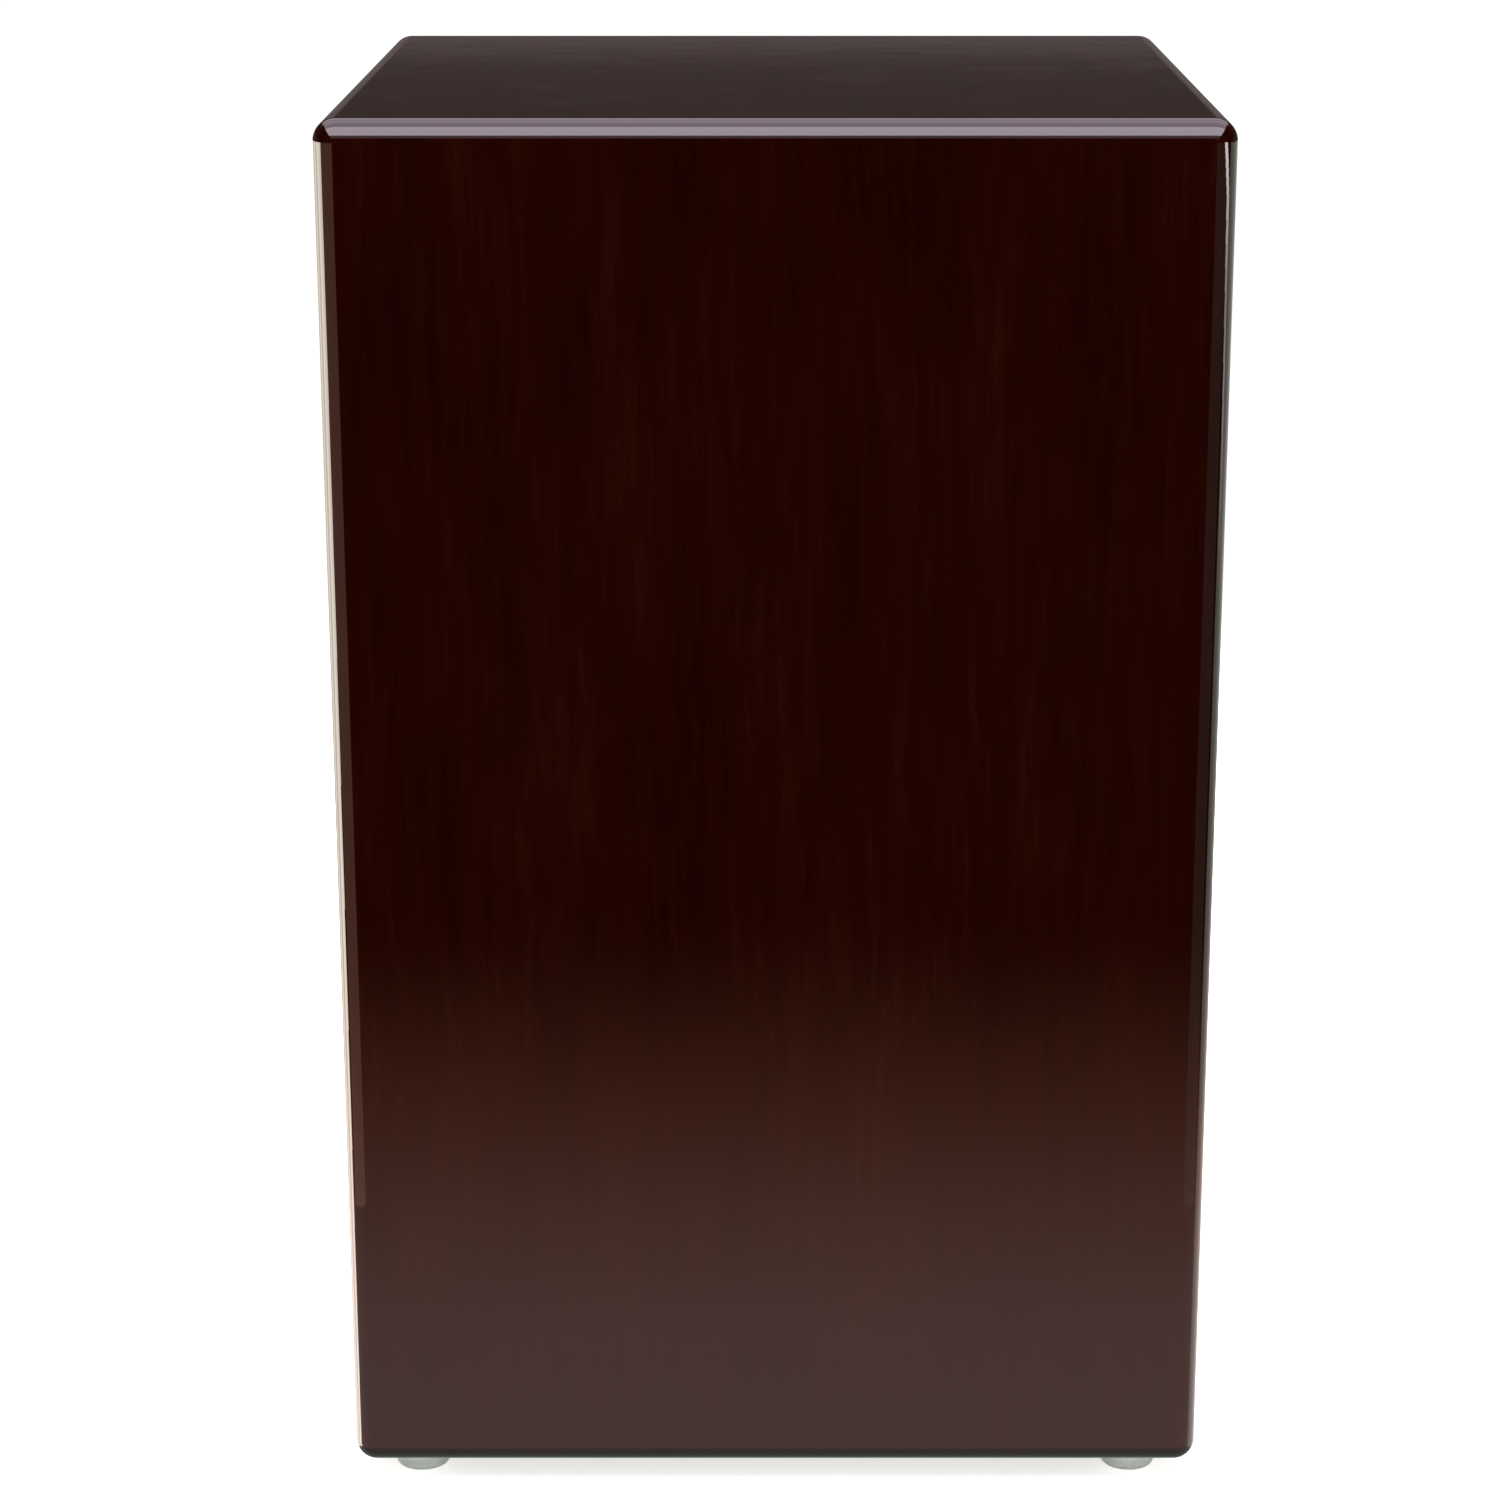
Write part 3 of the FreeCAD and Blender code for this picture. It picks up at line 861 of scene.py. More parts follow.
# ---------------------------------------------------------------- making pieces
def fit(
    name: str,
    shape: Shape,
    finishes: Sequence[Material],
    body: Body,
    stands_for: Sequence[str],
) -> Piece:
    """Makes a finished piece of a shape and fits it to its body.

    Args:
        name: the piece's name.
        shape: its faces, in the frame's own coordinates.
        finishes: its materials, in the order of the faces' material numbers.
        body: the body that it moves with.
        stands_for: the CAD nodes that it replaces.

    Returns:
        The piece's object.
    """
    mesh = bpy.data.meshes.new(name)
    shape.to_mesh(mesh)
    shape.free()
    mesh.shade_smooth()
    mesh.set_sharp_from_angle(angle=CREASE)
    for finish in finishes:
        mesh.materials.append(finish)
    piece = bpy.data.objects.new(name, mesh)
    bpy.context.scene.collection.objects.link(piece)
    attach(piece, body.value)
    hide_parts(*stands_for)
    LOG.info("%s: %d faces, rides on %s", name, len(mesh.polygons), body.value)
    return piece


def dress(name: str, finish: Material) -> None:
    """Gives a CAD node its finish.

    Args:
        name: the node.
        finish: its material.
    """
    for slot in frame["nodes"][name].material_slots:
        slot.material = finish
    LOG.info("%s: dressed in %s", name, finish.name)


def round_off(shape: Shape, geom: Sequence, offset: float, segments: int, affect: str) -> None:
    """Rounds edges or corners.

    Args:
        shape: the shape, which is changed.
        geom: the edges or vertices to round.
        offset: how far from them the rounding begins.
        segments: how many faces round it has.
        affect: EDGES or VERTICES.
    """
    bmesh.ops.bevel(
        shape,
        geom=geom,
        affect=affect,
        offset=offset,
        offset_type="OFFSET",
        segments=segments,
        profile=0.5,
        material=-1,
    )


def cut_across(shape: Shape, point: tuple, away: Sequence[float], clear: bool) -> list[bmesh.types.BMEdge]:
    """Cuts a shape along a plane.

    Args:
        shape: the shape, which is changed.
        point: a point on the plane.
        away: the side that the plane faces.
        clear: whether that side falls off.

    Returns:
        The edges along the cut.
    """
    everything = shape.verts[:] + shape.edges[:] + shape.faces[:]
    cut = bmesh.ops.bisect_plane(
        shape, geom=everything, dist=WELD, plane_co=point, plane_no=away, clear_outer=clear
    )
    return [part for part in cut["geom_cut"] if isinstance(part, bmesh.types.BMEdge)]


@dataclass(frozen=True)
class Turn:
    """One point of a turned profile, with the rounding of its corner."""

    radius: float
    height: float
    rounding: float = 0.0


def lathe(profile: Sequence[Turn], steps: int, rounding_steps: int = 5) -> Shape:
    """Turns a profile about Z.

    Args:
        profile: its points from one end to the other.
        steps: how many faces go round.
        rounding_steps: how many faces round a corner.

    Returns:
        The turned shape, open only where the profile doesn't end on the axis.
    """
    shape = bmesh.new()
    points = [shape.verts.new((turn.radius, 0.0, turn.height)) for turn in profile]
    for first, second in zip(points, points[1:]):
        shape.edges.new((first, second))
    for turn, point in zip(profile, points):
        if turn.rounding:
            round_off(shape, [point], turn.rounding, rounding_steps, "VERTICES")
    bmesh.ops.spin(
        shape,
        geom=shape.verts[:] + shape.edges[:],
        cent=(0.0, 0.0, 0.0),
        axis=UP,
        dvec=(0.0, 0.0, 0.0),
        angle=2 * math.pi,
        steps=steps,
        use_merge=True,
    )
    bmesh.ops.remove_doubles(shape, verts=shape.verts, dist=WELD)
    bmesh.ops.recalc_face_normals(shape, faces=shape.faces)
    return shape


def stand(shape: Shape, place: Vector, direction: Vector) -> Shape:
    """Moves a shape made at the origin along Z to its place.

    Args:
        shape: the shape, which is changed.
        place: where its origin goes.
        direction: where its Z axis points.

    Returns:
        The same shape.
    """
    turn = UP.rotation_difference(direction).to_matrix().to_4x4()
    bmesh.ops.transform(shape, matrix=Matrix.Translation(place) @ turn, verts=shape.verts)
    return shape


def join(shapes: Sequence[Shape]) -> Shape:
    """Puts several shapes in one, and frees them."""
    whole = bmesh.new()
    for shape in shapes:
        part = bpy.data.meshes.new("part")
        shape.to_mesh(part)
        shape.free()
        whole.from_mesh(part)
        bpy.data.meshes.remove(part)
    return whole


# ---------------------------------------------------------------- the lacquered case
@dataclass
class LacqueredCase:
    """The six lacquered panels, cut from one rounded block so that its edges run on across the joints."""

    effects: Effects
    edge_radius: float = 7.5 * MM
    edge_steps: int = 14
    hole_steps: int = 112
    rim: float = 1.0 * MM  # easing of the sound hole's two rims
    lip: float = 0.6 * MM  # flat ring outside each rim
    skin: int = 0  # material numbers: the lacquered skin, the cut faces, the hole's wall
    cut: int = 1
    wall: int = 2
    least_flat: float = 0.01  # square metres: the two big faces of the rear panel are more
    low: Vector = field(init=False)
    high: Vector = field(init=False)

    def __post_init__(self) -> None:
        """Takes the places of the joints from the panels."""
        self.front_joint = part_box("tapa")[1].y
        self.back_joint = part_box("rear_panel")[0].y
        self.inner_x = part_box("side_panel_right")[0].x
        self.inner_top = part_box("seat_panel")[0].z
        self.inner_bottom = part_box("base_panel")[1].z
        left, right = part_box("side_panel_left")[0].x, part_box("side_panel_right")[1].x
        self.low = Vector((left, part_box("tapa")[0].y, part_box("base_panel")[0].z))
        self.high = Vector((right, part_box("rear_panel")[1].y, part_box("seat_panel")[1].z))
        port = next(m for m in frame["record"]["mounts"] if m["name"] == "sound_port")
        self.hole_radius = port["dims"]["r_mm"] * MM
        self.hole_height = port["pos_m"][2]

    def joints(self) -> Joints:
        """Where the panels meet."""
        return Joints(self.front_joint, self.back_joint, self.high.x, self.high.z, self.low.z)

    def block(self) -> Shape:
        """The whole outside with its rounded edges and corners."""
        shape = bmesh.new()
        place = Matrix.LocRotScale((self.low + self.high) / 2, None, self.high - self.low)
        bmesh.ops.create_cube(shape, size=1.0, matrix=place)
        round_off(shape, shape.edges[:], self.edge_radius, self.edge_steps, "EDGES")
        return shape

    def saw(self, shape: Shape, point: tuple, away: tuple) -> None:
        """Cuts off one side of a plane and closes the cut.

        Args:
            shape: the shape to cut.
            point: a point on the plane.
            away: the side that falls off.
        """
        edges = cut_across(shape, point, away, True)
        for face in bmesh.ops.holes_fill(shape, edges=edges, sides=0)["faces"]:
            face.material_index = self.cut

    def shell_part(self) -> Shape:
        """The block between the tapa and the rear panel."""
        shape = self.block()
        self.saw(shape, (0, self.front_joint, 0), (0, -1, 0))
        self.saw(shape, (0, self.back_joint, 0), (0, 1, 0))
        return shape

    def side(self, side: int) -> Shape:
        """A mitred side panel: side is -1 for left and 1 for right."""
        shape = self.shell_part()
        self.saw(shape, (side * self.inner_x, 0, 0), (-side, 0, 0))
        self.saw(shape, (side * self.high.x, 0, self.high.z), (-side, 0, 1))
        self.saw(shape, (side * self.high.x, 0, self.low.z), (-side, 0, -1))
        return shape

    def level(self, inner: float, outer: float) -> Shape:
        """A mitred seat or base panel.

        Args:
            inner: the height of its inner face.
            outer: the height of its outer face.

        Returns:
            The panel.
        """
        shape = self.shell_part()
        inward = -1 if outer > inner else 1
        self.saw(shape, (0, 0, inner), (0, 0, inward))
        for side in (-1, 1):
            self.saw(shape, (side * self.high.x, 0, outer), (side, 0, inward))
        return shape

    def rear(self) -> Shape:
        """The rear panel with its sound hole."""
        shape = self.block()
        self.saw(shape, (0, self.back_joint, 0), (0, -1, 0))
        flats = [face for face in shape.faces if abs(face.normal.y) > 0.999]
        flats = [face for face in flats if face.calc_area() > self.least_flat]
        levels = [(face.calc_center_median().y, face.normal.copy(), face.material_index) for face in flats]
        bmesh.ops.delete(shape, geom=flats, context="FACES_ONLY")
        outline = [edge for edge in shape.edges if edge.is_boundary]
        wall = self._hole_wall(shape)
        for level, normal, number in levels:
            border = [edge for edge in outline + wall if all(abs(v.co.y - level) < WELD for v in edge.verts)]
            filled = bmesh.ops.triangle_fill(
                shape, edges=border, use_beauty=True, use_dissolve=False, normal=normal
            )
            for part in filled["geom"]:
                if isinstance(part, bmesh.types.BMFace):
                    part.material_index = number
        bmesh.ops.recalc_face_normals(shape, faces=shape.faces)
        return shape

    def _hole_wall(self, shape: Shape) -> list[bmesh.types.BMEdge]:
        """Turns the hole's wall, with its eased rims.

        Args:
            shape: the panel, opened where the hole comes.

        Returns:
            The wall's two outer circles.
        """
        outer = self.hole_radius + self.rim + self.lip
        inside, outside = self.back_joint, self.high.y
        run = ((outer, inside), (self.hole_radius, inside), (self.hole_radius, outside), (outer, outside))
        points = [shape.verts.new((x, y, self.hole_height)) for x, y in run]
        for first, second in zip(points, points[1:]):
            shape.edges.new((first, second))
        round_off(shape, points[1:3], self.rim, 6, "VERTICES")
        line = [edge for edge in shape.edges if edge.is_wire]
        before = set(shape.faces)
        bmesh.ops.spin(
            shape,
            geom=list({vertex for edge in line for vertex in edge.verts}) + line,
            cent=(0.0, 0.0, self.hole_height),
            axis=(0.0, 1.0, 0.0),
            dvec=(0.0, 0.0, 0.0),
            angle=2 * math.pi,
            steps=self.hole_steps,
            use_merge=True,
        )
        turned = [face for face in shape.faces if face not in before]
        for face in turned:
            face.material_index = self.wall
        edges = {edge for face in turned for edge in face.edges}
        return [edge for edge in edges if edge.is_boundary]

    def true_normal(self, place: Vector, flat: Vector, number: int) -> Vector:
        """The exact normal of the rounded block or of the hole's wall.

        Args:
            place: a corner of a face.
            flat: the face's own normal.
            number: the face's material number.

        Returns:
            The normal at the corner.
        """
        if number == self.cut:
            return flat
        if number == self.skin:
            radius = Vector((self.edge_radius,) * 3)
            low, high = self.low + radius, self.high - radius
            core = Vector(min(max(p, a), b) for p, a, b in zip(place, low, high))
            return (place - core).normalized()
        axis = Vector((0.0, place.y, self.hole_height))
        out = place - axis
        ring = self.hole_radius + self.rim
        middle = min(max(place.y, self.back_joint + self.rim), self.high.y - self.rim)
        centre = axis + out.normalized() * max(ring, out.length)
        centre.y = middle
        return (place - centre).normalized()

    def polish(self, piece: Piece) -> None:
        """Gives a panel the block's exact normals, so that a reflection runs on across the joints."""
        mesh = piece.data
        normals = [corner.vector.copy() for corner in mesh.corner_normals]
        for face in mesh.polygons:
            for corner in face.loop_indices:
                place = mesh.vertices[mesh.loops[corner].vertex_index].co
                normals[corner] = self.true_normal(place, face.normal, face.material_index)
        mesh.normals_split_custom_set(normals)

    def build(self) -> None:
        """Makes, finishes and fits the six panels."""
        joints = self.joints()
        ways = upright, level = Run.UPRIGHT, Run.FRONT_BACK
        skins = {run: Lacquer(run=run, joints=joints).material(self.effects) for run in ways}
        raws = {run: RawPly(run=run).material(self.effects) for run in ways}
        wall = BoredEdge(face=self.high.y).material(self.effects)
        front = self.block()
        self.saw(front, (0, self.front_joint, 0), (0, 1, 0))
        panels = (
            ("lacquered_tapa", front, upright, "tapa"),
            ("lacquered_rear_panel", self.rear(), upright, "rear_panel"),
            ("lacquered_side_left", self.side(-1), upright, "side_panel_left"),
            ("lacquered_side_right", self.side(1), upright, "side_panel_right"),
            ("lacquered_seat", self.level(self.inner_top, self.high.z), level, "seat_panel"),
            ("lacquered_base", self.level(self.inner_bottom, self.low.z), level, "base_panel"),
        )
        for name, shape, run, node in panels:
            finishes = (skins[run], raws[run], wall)
            self.polish(fit(name, shape, finishes, Body.BOX, [node]))


# ---------------------------------------------------------------- inside the box
def battens(first: Sequence[str], second: Sequence[str]) -> tuple[str, ...]:
    """The names of the battens that have one word of each list."""
    return tuple(f"batten_{one}_{other}" for one in first for other in second)


@dataclass
class InnerFrame:
    """The softwood battens and brace inside the panels."""

    effects: Effects
    runs: dict[Run, tuple[str, ...]] = field(
        default_factory=lambda: {
            Run.UPRIGHT: battens(("front", "rear"), ("left", "right")),
            Run.FRONT_BACK: battens(("base", "seat"), ("left", "right")),
            Run.LEFT_RIGHT: battens(("front", "rear"), ("bottom", "top")) + ("seat_brace",),
        }
    )

    def build(self) -> None:
        """Dresses each stick with its fibres along it."""
        for run, names in self.runs.items():
            finish = Softwood(run=run).material(self.effects)
            for name in names:
                dress(name, finish)


# ---------------------------------------------------------------- feet
@dataclass
class RubberFeet:
    """The four stuck-on rubber feet."""

    effects: Effects
    names: tuple[str, ...] = ("foot_front_left", "foot_front_right", "foot_rear_left", "foot_rear_right")
    draft: float = 0.6 * MM  # how much narrower the foot is at the floor
    rim: float = 1.0 * MM
    top_rim: float = 0.25 * MM
    dimple: float = 5.2 * MM
    dimple_depth: float = 0.7 * MM
    steps: int = 72

    def foot(self, name: str) -> Shape:
        """Turns a foot in its place.

        Args:
            name: the node that it replaces.

        Returns:
            The foot.
        """
        low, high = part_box(name)
        radius = (high.x - low.x) / 2
        height = high.z - low.z
        profile = (
            Turn(0.0, self.dimple_depth),
            Turn(self.dimple - self.dimple_depth, self.dimple_depth, 0.4 * MM),
            Turn(self.dimple, 0.0, 0.25 * MM),
            Turn(radius - self.draft, 0.0, self.rim),
            Turn(radius, height, self.top_rim),
            Turn(0.0, height),
        )
        centre = (low + high) / 2
        return stand(lathe(profile, self.steps, 8), Vector((centre.x, centre.y, low.z)), UP)

    def build(self) -> None:
        """Makes the feet and dresses the film that holds them."""
        rubber = ClearRubber().material(self.effects)
        for name in self.names:
            fit(f"rubber_{name}", self.foot(name), [rubber], Body.BOX, [name])
        dress("foot_adhesive_discs", AdhesiveFilm().material(self.effects))


# ---------------------------------------------------------------- screws
@dataclass(frozen=True)
class CrossScrew:
    """A wood screw with a cross recess."""

    head_radius: float
    head_height: float
    flat_radius: float  # of the flat round the recess
    shank_radius: float
    shank_length: float
    countersunk: bool
    recess: float = 1.35 * MM  # half length of the cross
    arm: float = 0.32 * MM  # half width of its arms
    recess_depth: float = 1.1 * MM
    steps: int = 40

    def profile(self) -> list[Turn]:
        """From the flat round the recess to the tip, with the seat at height 0."""
        if self.countersunk:
            head = [Turn(self.flat_radius, 0.0), Turn(self.head_radius, 0.0, 0.12 * MM)]
            neck = [Turn(self.shank_radius, -self.head_height)]
        else:
            top = self.head_height
            head = [Turn(self.flat_radius, top), Turn(self.head_radius, top, 1.25 * MM)]
            head.append(Turn(self.head_radius, 0.0))
            neck = [Turn(self.shank_radius, 0.0)]
        taper = self.shank_length - 2 * self.shank_radius
        return head + neck + [Turn(self.shank_radius, -taper), Turn(0.0, -self.shank_length)]

    def make(self, place: Vector, out: Vector) -> Shape:
        """A screw in its place.

        Args:
            place: the middle of the face that it is in.
            out: the direction that its head faces.

        Returns:
            The closed screw.
        """
        shape = lathe(self.profile(), self.steps, 4)
        top = max(vertex.co.z for vertex in shape.verts)
        border = [edge for edge in shape.edges if edge.is_boundary]
        grid = bmesh.ops.create_grid(
            shape, x_segments=3, y_segments=3, size=self.recess, matrix=Matrix.Translation((0, 0, top))
        )
        for vertex in grid["verts"]:
            for axis in (0, 1):
                if abs(vertex.co[axis]) < self.recess * 0.9:
                    vertex.co[axis] = math.copysign(self.arm, vertex.co[axis])
        faces = {face for vertex in grid["verts"] for face in vertex.link_faces}
        middles = {face: face.calc_center_median() for face in faces}
        corners = [face for face, middle in middles.items() if min(abs(middle.x), abs(middle.y)) > self.arm]
        bmesh.ops.delete(shape, geom=corners, context="FACES")
        cross = [face for face in faces if face.is_valid]
        rim = [edge for edge in {edge for face in cross for edge in face.edges} if edge.is_boundary]
        bmesh.ops.triangle_fill(shape, edges=border + rim, use_beauty=True, use_dissolve=False, normal=UP)
        sunk = bmesh.ops.extrude_face_region(shape, geom=cross)["geom"]
        bmesh.ops.delete(shape, geom=[face for face in cross if face.is_valid], context="FACES")
        deep = [part for part in sunk if isinstance(part, bmesh.types.BMVert)]
        bmesh.ops.scale(shape, vec=(0.55, 0.55, 1.0), verts=deep)
        bmesh.ops.translate(shape, vec=(0.0, 0.0, -self.recess_depth), verts=deep)
        bmesh.ops.recalc_face_normals(shape, faces=shape.faces)
        return stand(shape, place, out)


# ---------------------------------------------------------------- the snare
@dataclass
class SnareAxle:
    """The turning dowel, its bearings, plates and felts."""

    effects: Effects
    zinc: Material
    axis: Vector = field(init=False)
    slope: float = math.radians(16)
    flat: float = 8.0 * MM  # from the axis to the dowel's flats
    sheet: float = 1.0 * MM
    plate_half_length: float = 7.5 * MM
    plate_middle: float = 58.0 * MM
    screw_offset: float = 20.0 * MM
    block_face: float = 118.0 * MM
    block_screws: tuple[tuple[float, float], ...] = ((-12 * MM, 13 * MM), (12 * MM, -13 * MM))
    felt_hole: float = 6.6 * MM

    def __post_init__(self) -> None:
        """Takes the axis from the joint."""
        joint = next(j for j in frame["joints"] if j["name"] == "snare_turn")
        self.axis = Vector(joint["pos_m"])
        self.along = Vector((0.0, -math.sin(self.slope), math.cos(self.slope)))
        self.normal = Vector((0.0, -math.cos(self.slope), -math.sin(self.slope)))

    def on_flat(self, x: float, across: float, along: float) -> Vector:
        """A place on the dowel's sloping flats.

        Args:
            x: sideways from the middle.
            across: from the axis, along the flats' normal.
            along: up the flats from the axis.

        Returns:
            The place.
        """
        return self.axis + Vector((x, 0.0, 0.0)) + self.normal * across + self.along * along

    def plate_screws(self) -> Shape:
        """The four pan-head screws of the plates."""
        screw = CrossScrew(3.2 * MM, 2.2 * MM, 1.75 * MM, 1.5 * MM, 12.0 * MM, countersunk=False)
        up = 3.8 * MM - self.plate_half_length
        places = [
            self.on_flat(side * self.plate_middle + offset, self.flat + self.sheet, up)
            for side in (-1, 1)
            for offset in (-self.screw_offset, self.screw_offset)
        ]
        return join([screw.make(place, self.normal) for place in places])

    def bearing_screws(self) -> Shape:
        """The four countersunk screws of the bearing blocks."""
        screw = CrossScrew(
            4.0 * MM, 2.0 * MM, 2.1 * MM, 2.0 * MM, 29.0 * MM, countersunk=True, recess=1.7 * MM
        )
        made = []
        for side in (-1, 1):
            for y, z in self.block_screws:
                place = Vector((side * self.block_face, self.axis.y + y, self.axis.z + z))
                made.append(screw.make(place, Vector((-side, 0.0, 0.0))))
        return join(made)

    def washer(self, name: str) -> Shape:
        """Turns a felt ring with soft edges.

        Args:
            name: the node that it replaces.

        Returns:
            The ring in its place.
        """
        low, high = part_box(name)
        radius = (high.z - low.z) / 2
        thick = high.x - low.x
        soft = 0.35 * MM
        ring = (
            Turn(self.felt_hole, thick / 2),
            Turn(self.felt_hole, 0.0, soft),
            Turn(radius, 0.0, soft),
            Turn(radius, thick, soft),
            Turn(self.felt_hole, thick, soft),
            Turn(self.felt_hole, thick / 2),
        )
        shape = lathe(ring, 64, 4)
        return stand(shape, Vector((low.x, self.axis.y, self.axis.z)), Vector((1.0, 0.0, 0.0)))

    def build(self) -> None:
        """Makes the small parts and dresses the rest."""
        dress("snare_dowel", Beech(run=Run.LEFT_RIGHT).material(self.effects))
        block = Beech().material(self.effects)
        felt = WoolFelt().material(self.effects)
        for side in ("left", "right"):
            dress(f"bearing_block_{side}", block)
            dress(f"snare_plate_{side}", self.zinc)
            name = f"felt_washer_{side}"
            fit(f"wool_{name}", self.washer(name), [felt], Body.BOX, [name])
        zinc = [self.zinc]
        fit("plate_screws", self.plate_screws(), zinc, Body.SNARE, ["snare_plate_screws"])
        fit("bearing_screws", self.bearing_screws(), zinc, Body.BOX, ["bearing_block_screws"])


@dataclass
class SnareWires:
    """Two fans of ten coiled strands that lie against the tapa."""

    effects: Effects
    axle: SnareAxle
    lying: float  # y of the strands' middles where they lie on the tapa
    strands: int = 10
    spacing: float = 5.6 * MM
    first: float = 1.0 * MM  # up the flat, where a strand starts
    depth: float = 10.2 * MM  # from the axis to a strand's middle
    coil_radius: float = 1.2 * MM
    wire_radius: float = 0.25 * MM
    pitch: float = 0.95 * MM
    coil_steps: int = 10
    bend: float = 100.0 * MM
    tip: float = 12.0 * MM
    phase: float = 1.3  # radians that each coil is turned on from the last
    splay: float = 5.0  # degrees that a fan leans outwards
    fan: float = 9.0  # degrees from the first strand to the last

    def straight(self) -> float:
        """How far a strand runs straight before it bends to the tapa."""
        start = self.axle.on_flat(0.0, self.depth, self.first)
        slope = self.axle.slope
        return (start.y - self.lying - self.bend * (1 - math.cos(slope))) / math.sin(slope)

    def coil(self, length: float) -> Shape:
        """Winds a straight coil along Z.

        Args:
            length: its length.

        Returns:
            The coil, closed at both ends.
        """
        shape = bmesh.new()
        inner = self.coil_radius - self.wire_radius
        place = Matrix.Translation((inner, 0.0, self.wire_radius)) @ Matrix.Rotation(math.pi / 2, 4, "X")
        bmesh.ops.create_circle(shape, cap_ends=False, radius=self.wire_radius, segments=5, matrix=place)
        turns = (length - 2 * self.wire_radius) / self.pitch
        steps = round(turns * self.coil_steps)
        bmesh.ops.spin(
            shape,
            geom=shape.verts[:] + shape.edges[:],
            cent=(0.0, 0.0, 0.0),
            axis=UP,
            dvec=(0.0, 0.0, (length - 2 * self.wire_radius) / steps),
            angle=2 * math.pi * turns,
            steps=steps,
            use_merge=False,
        )
        bmesh.ops.holes_fill(shape, edges=[edge for edge in shape.edges if edge.is_boundary], sides=0)
        bmesh.ops.recalc_face_normals(shape, faces=shape.faces)
        return shape

    def lie(self, place: Vector, start: Vector) -> Vector:
        """Carries a point of a straight coil to the bent strand.

        Args:
            place: the point, with the coil along Z from the origin.
            start: where the strand starts on its plate.

        Returns:
            Where the point comes to lie.
        """
        slope = self.axle.slope
        straight = self.straight()
        arc = self.bend * slope
        turned = min(max(place.z - straight, 0.0), arc) / self.bend
        lean = slope - turned
        along = Vector((0.0, -math.sin(lean), math.cos(lean)))
        normal = Vector((0.0, -math.cos(lean), -math.sin(lean)))
        line = start + self.axle.along * min(place.z, straight)
        centre = start + self.axle.along * straight - self.axle.normal * self.bend
        if turned > 0.0:
            line = centre + normal * self.bend
        line += along * max(place.z - straight - arc, 0.0)
        return line - Vector((place.x, 0.0, 0.0)) + normal * place.y

    def strand(self, wound: Shape, side: int, number: int) -> Shape:
        """One strand in its place.

        Args:
            wound: a straight coil of its length.
            side: -1 for the left fan and 1 for the right.
            number: 0 to 9 from left to right.

        Returns:
            The coiled strand.
        """
        place = number - (self.strands - 1) / 2
        sideways = side * self.axle.plate_middle + place * self.spacing
        start = self.axle.on_flat(sideways, self.depth, self.first)
        shape = wound.copy()
        spun = Matrix.Rotation(number * self.phase, 3, "Z")
        bmesh.ops.rotate(shape, cent=(0.0, 0.0, 0.0), matrix=spun, verts=shape.verts)
        for vertex in shape.verts:
            vertex.co = self.lie(vertex.co, start)
        lean = -math.radians(self.splay * side + self.fan * place / (self.strands - 1))
        turn = Matrix.Rotation(lean, 3, self.axle.normal)
        bmesh.ops.rotate(shape, cent=start, matrix=turn, verts=shape.verts)
        return shape

    def build(self) -> None:
        """Makes and fits the two fans."""
        wire = Metal(
            name="bright drawn wire",
            bright=(0.74, 0.73, 0.71, 1.0),
            dull=(0.56, 0.55, 0.54, 1.0),
            roughness=0.17,
            clouds=5.0,
            hairlines=0.2,
        )
        finish = [wire.material(self.effects)]
        wound = self.coil(self.straight() + self.bend * self.axle.slope + self.tip)
        for side, word in ((-1, "left"), (1, "right")):
            shape = join([self.strand(wound, side, number) for number in range(self.strands)])
            fit(f"coiled_wires_{word}", shape, finish, Body.SNARE, [f"snare_wires_{word}"])


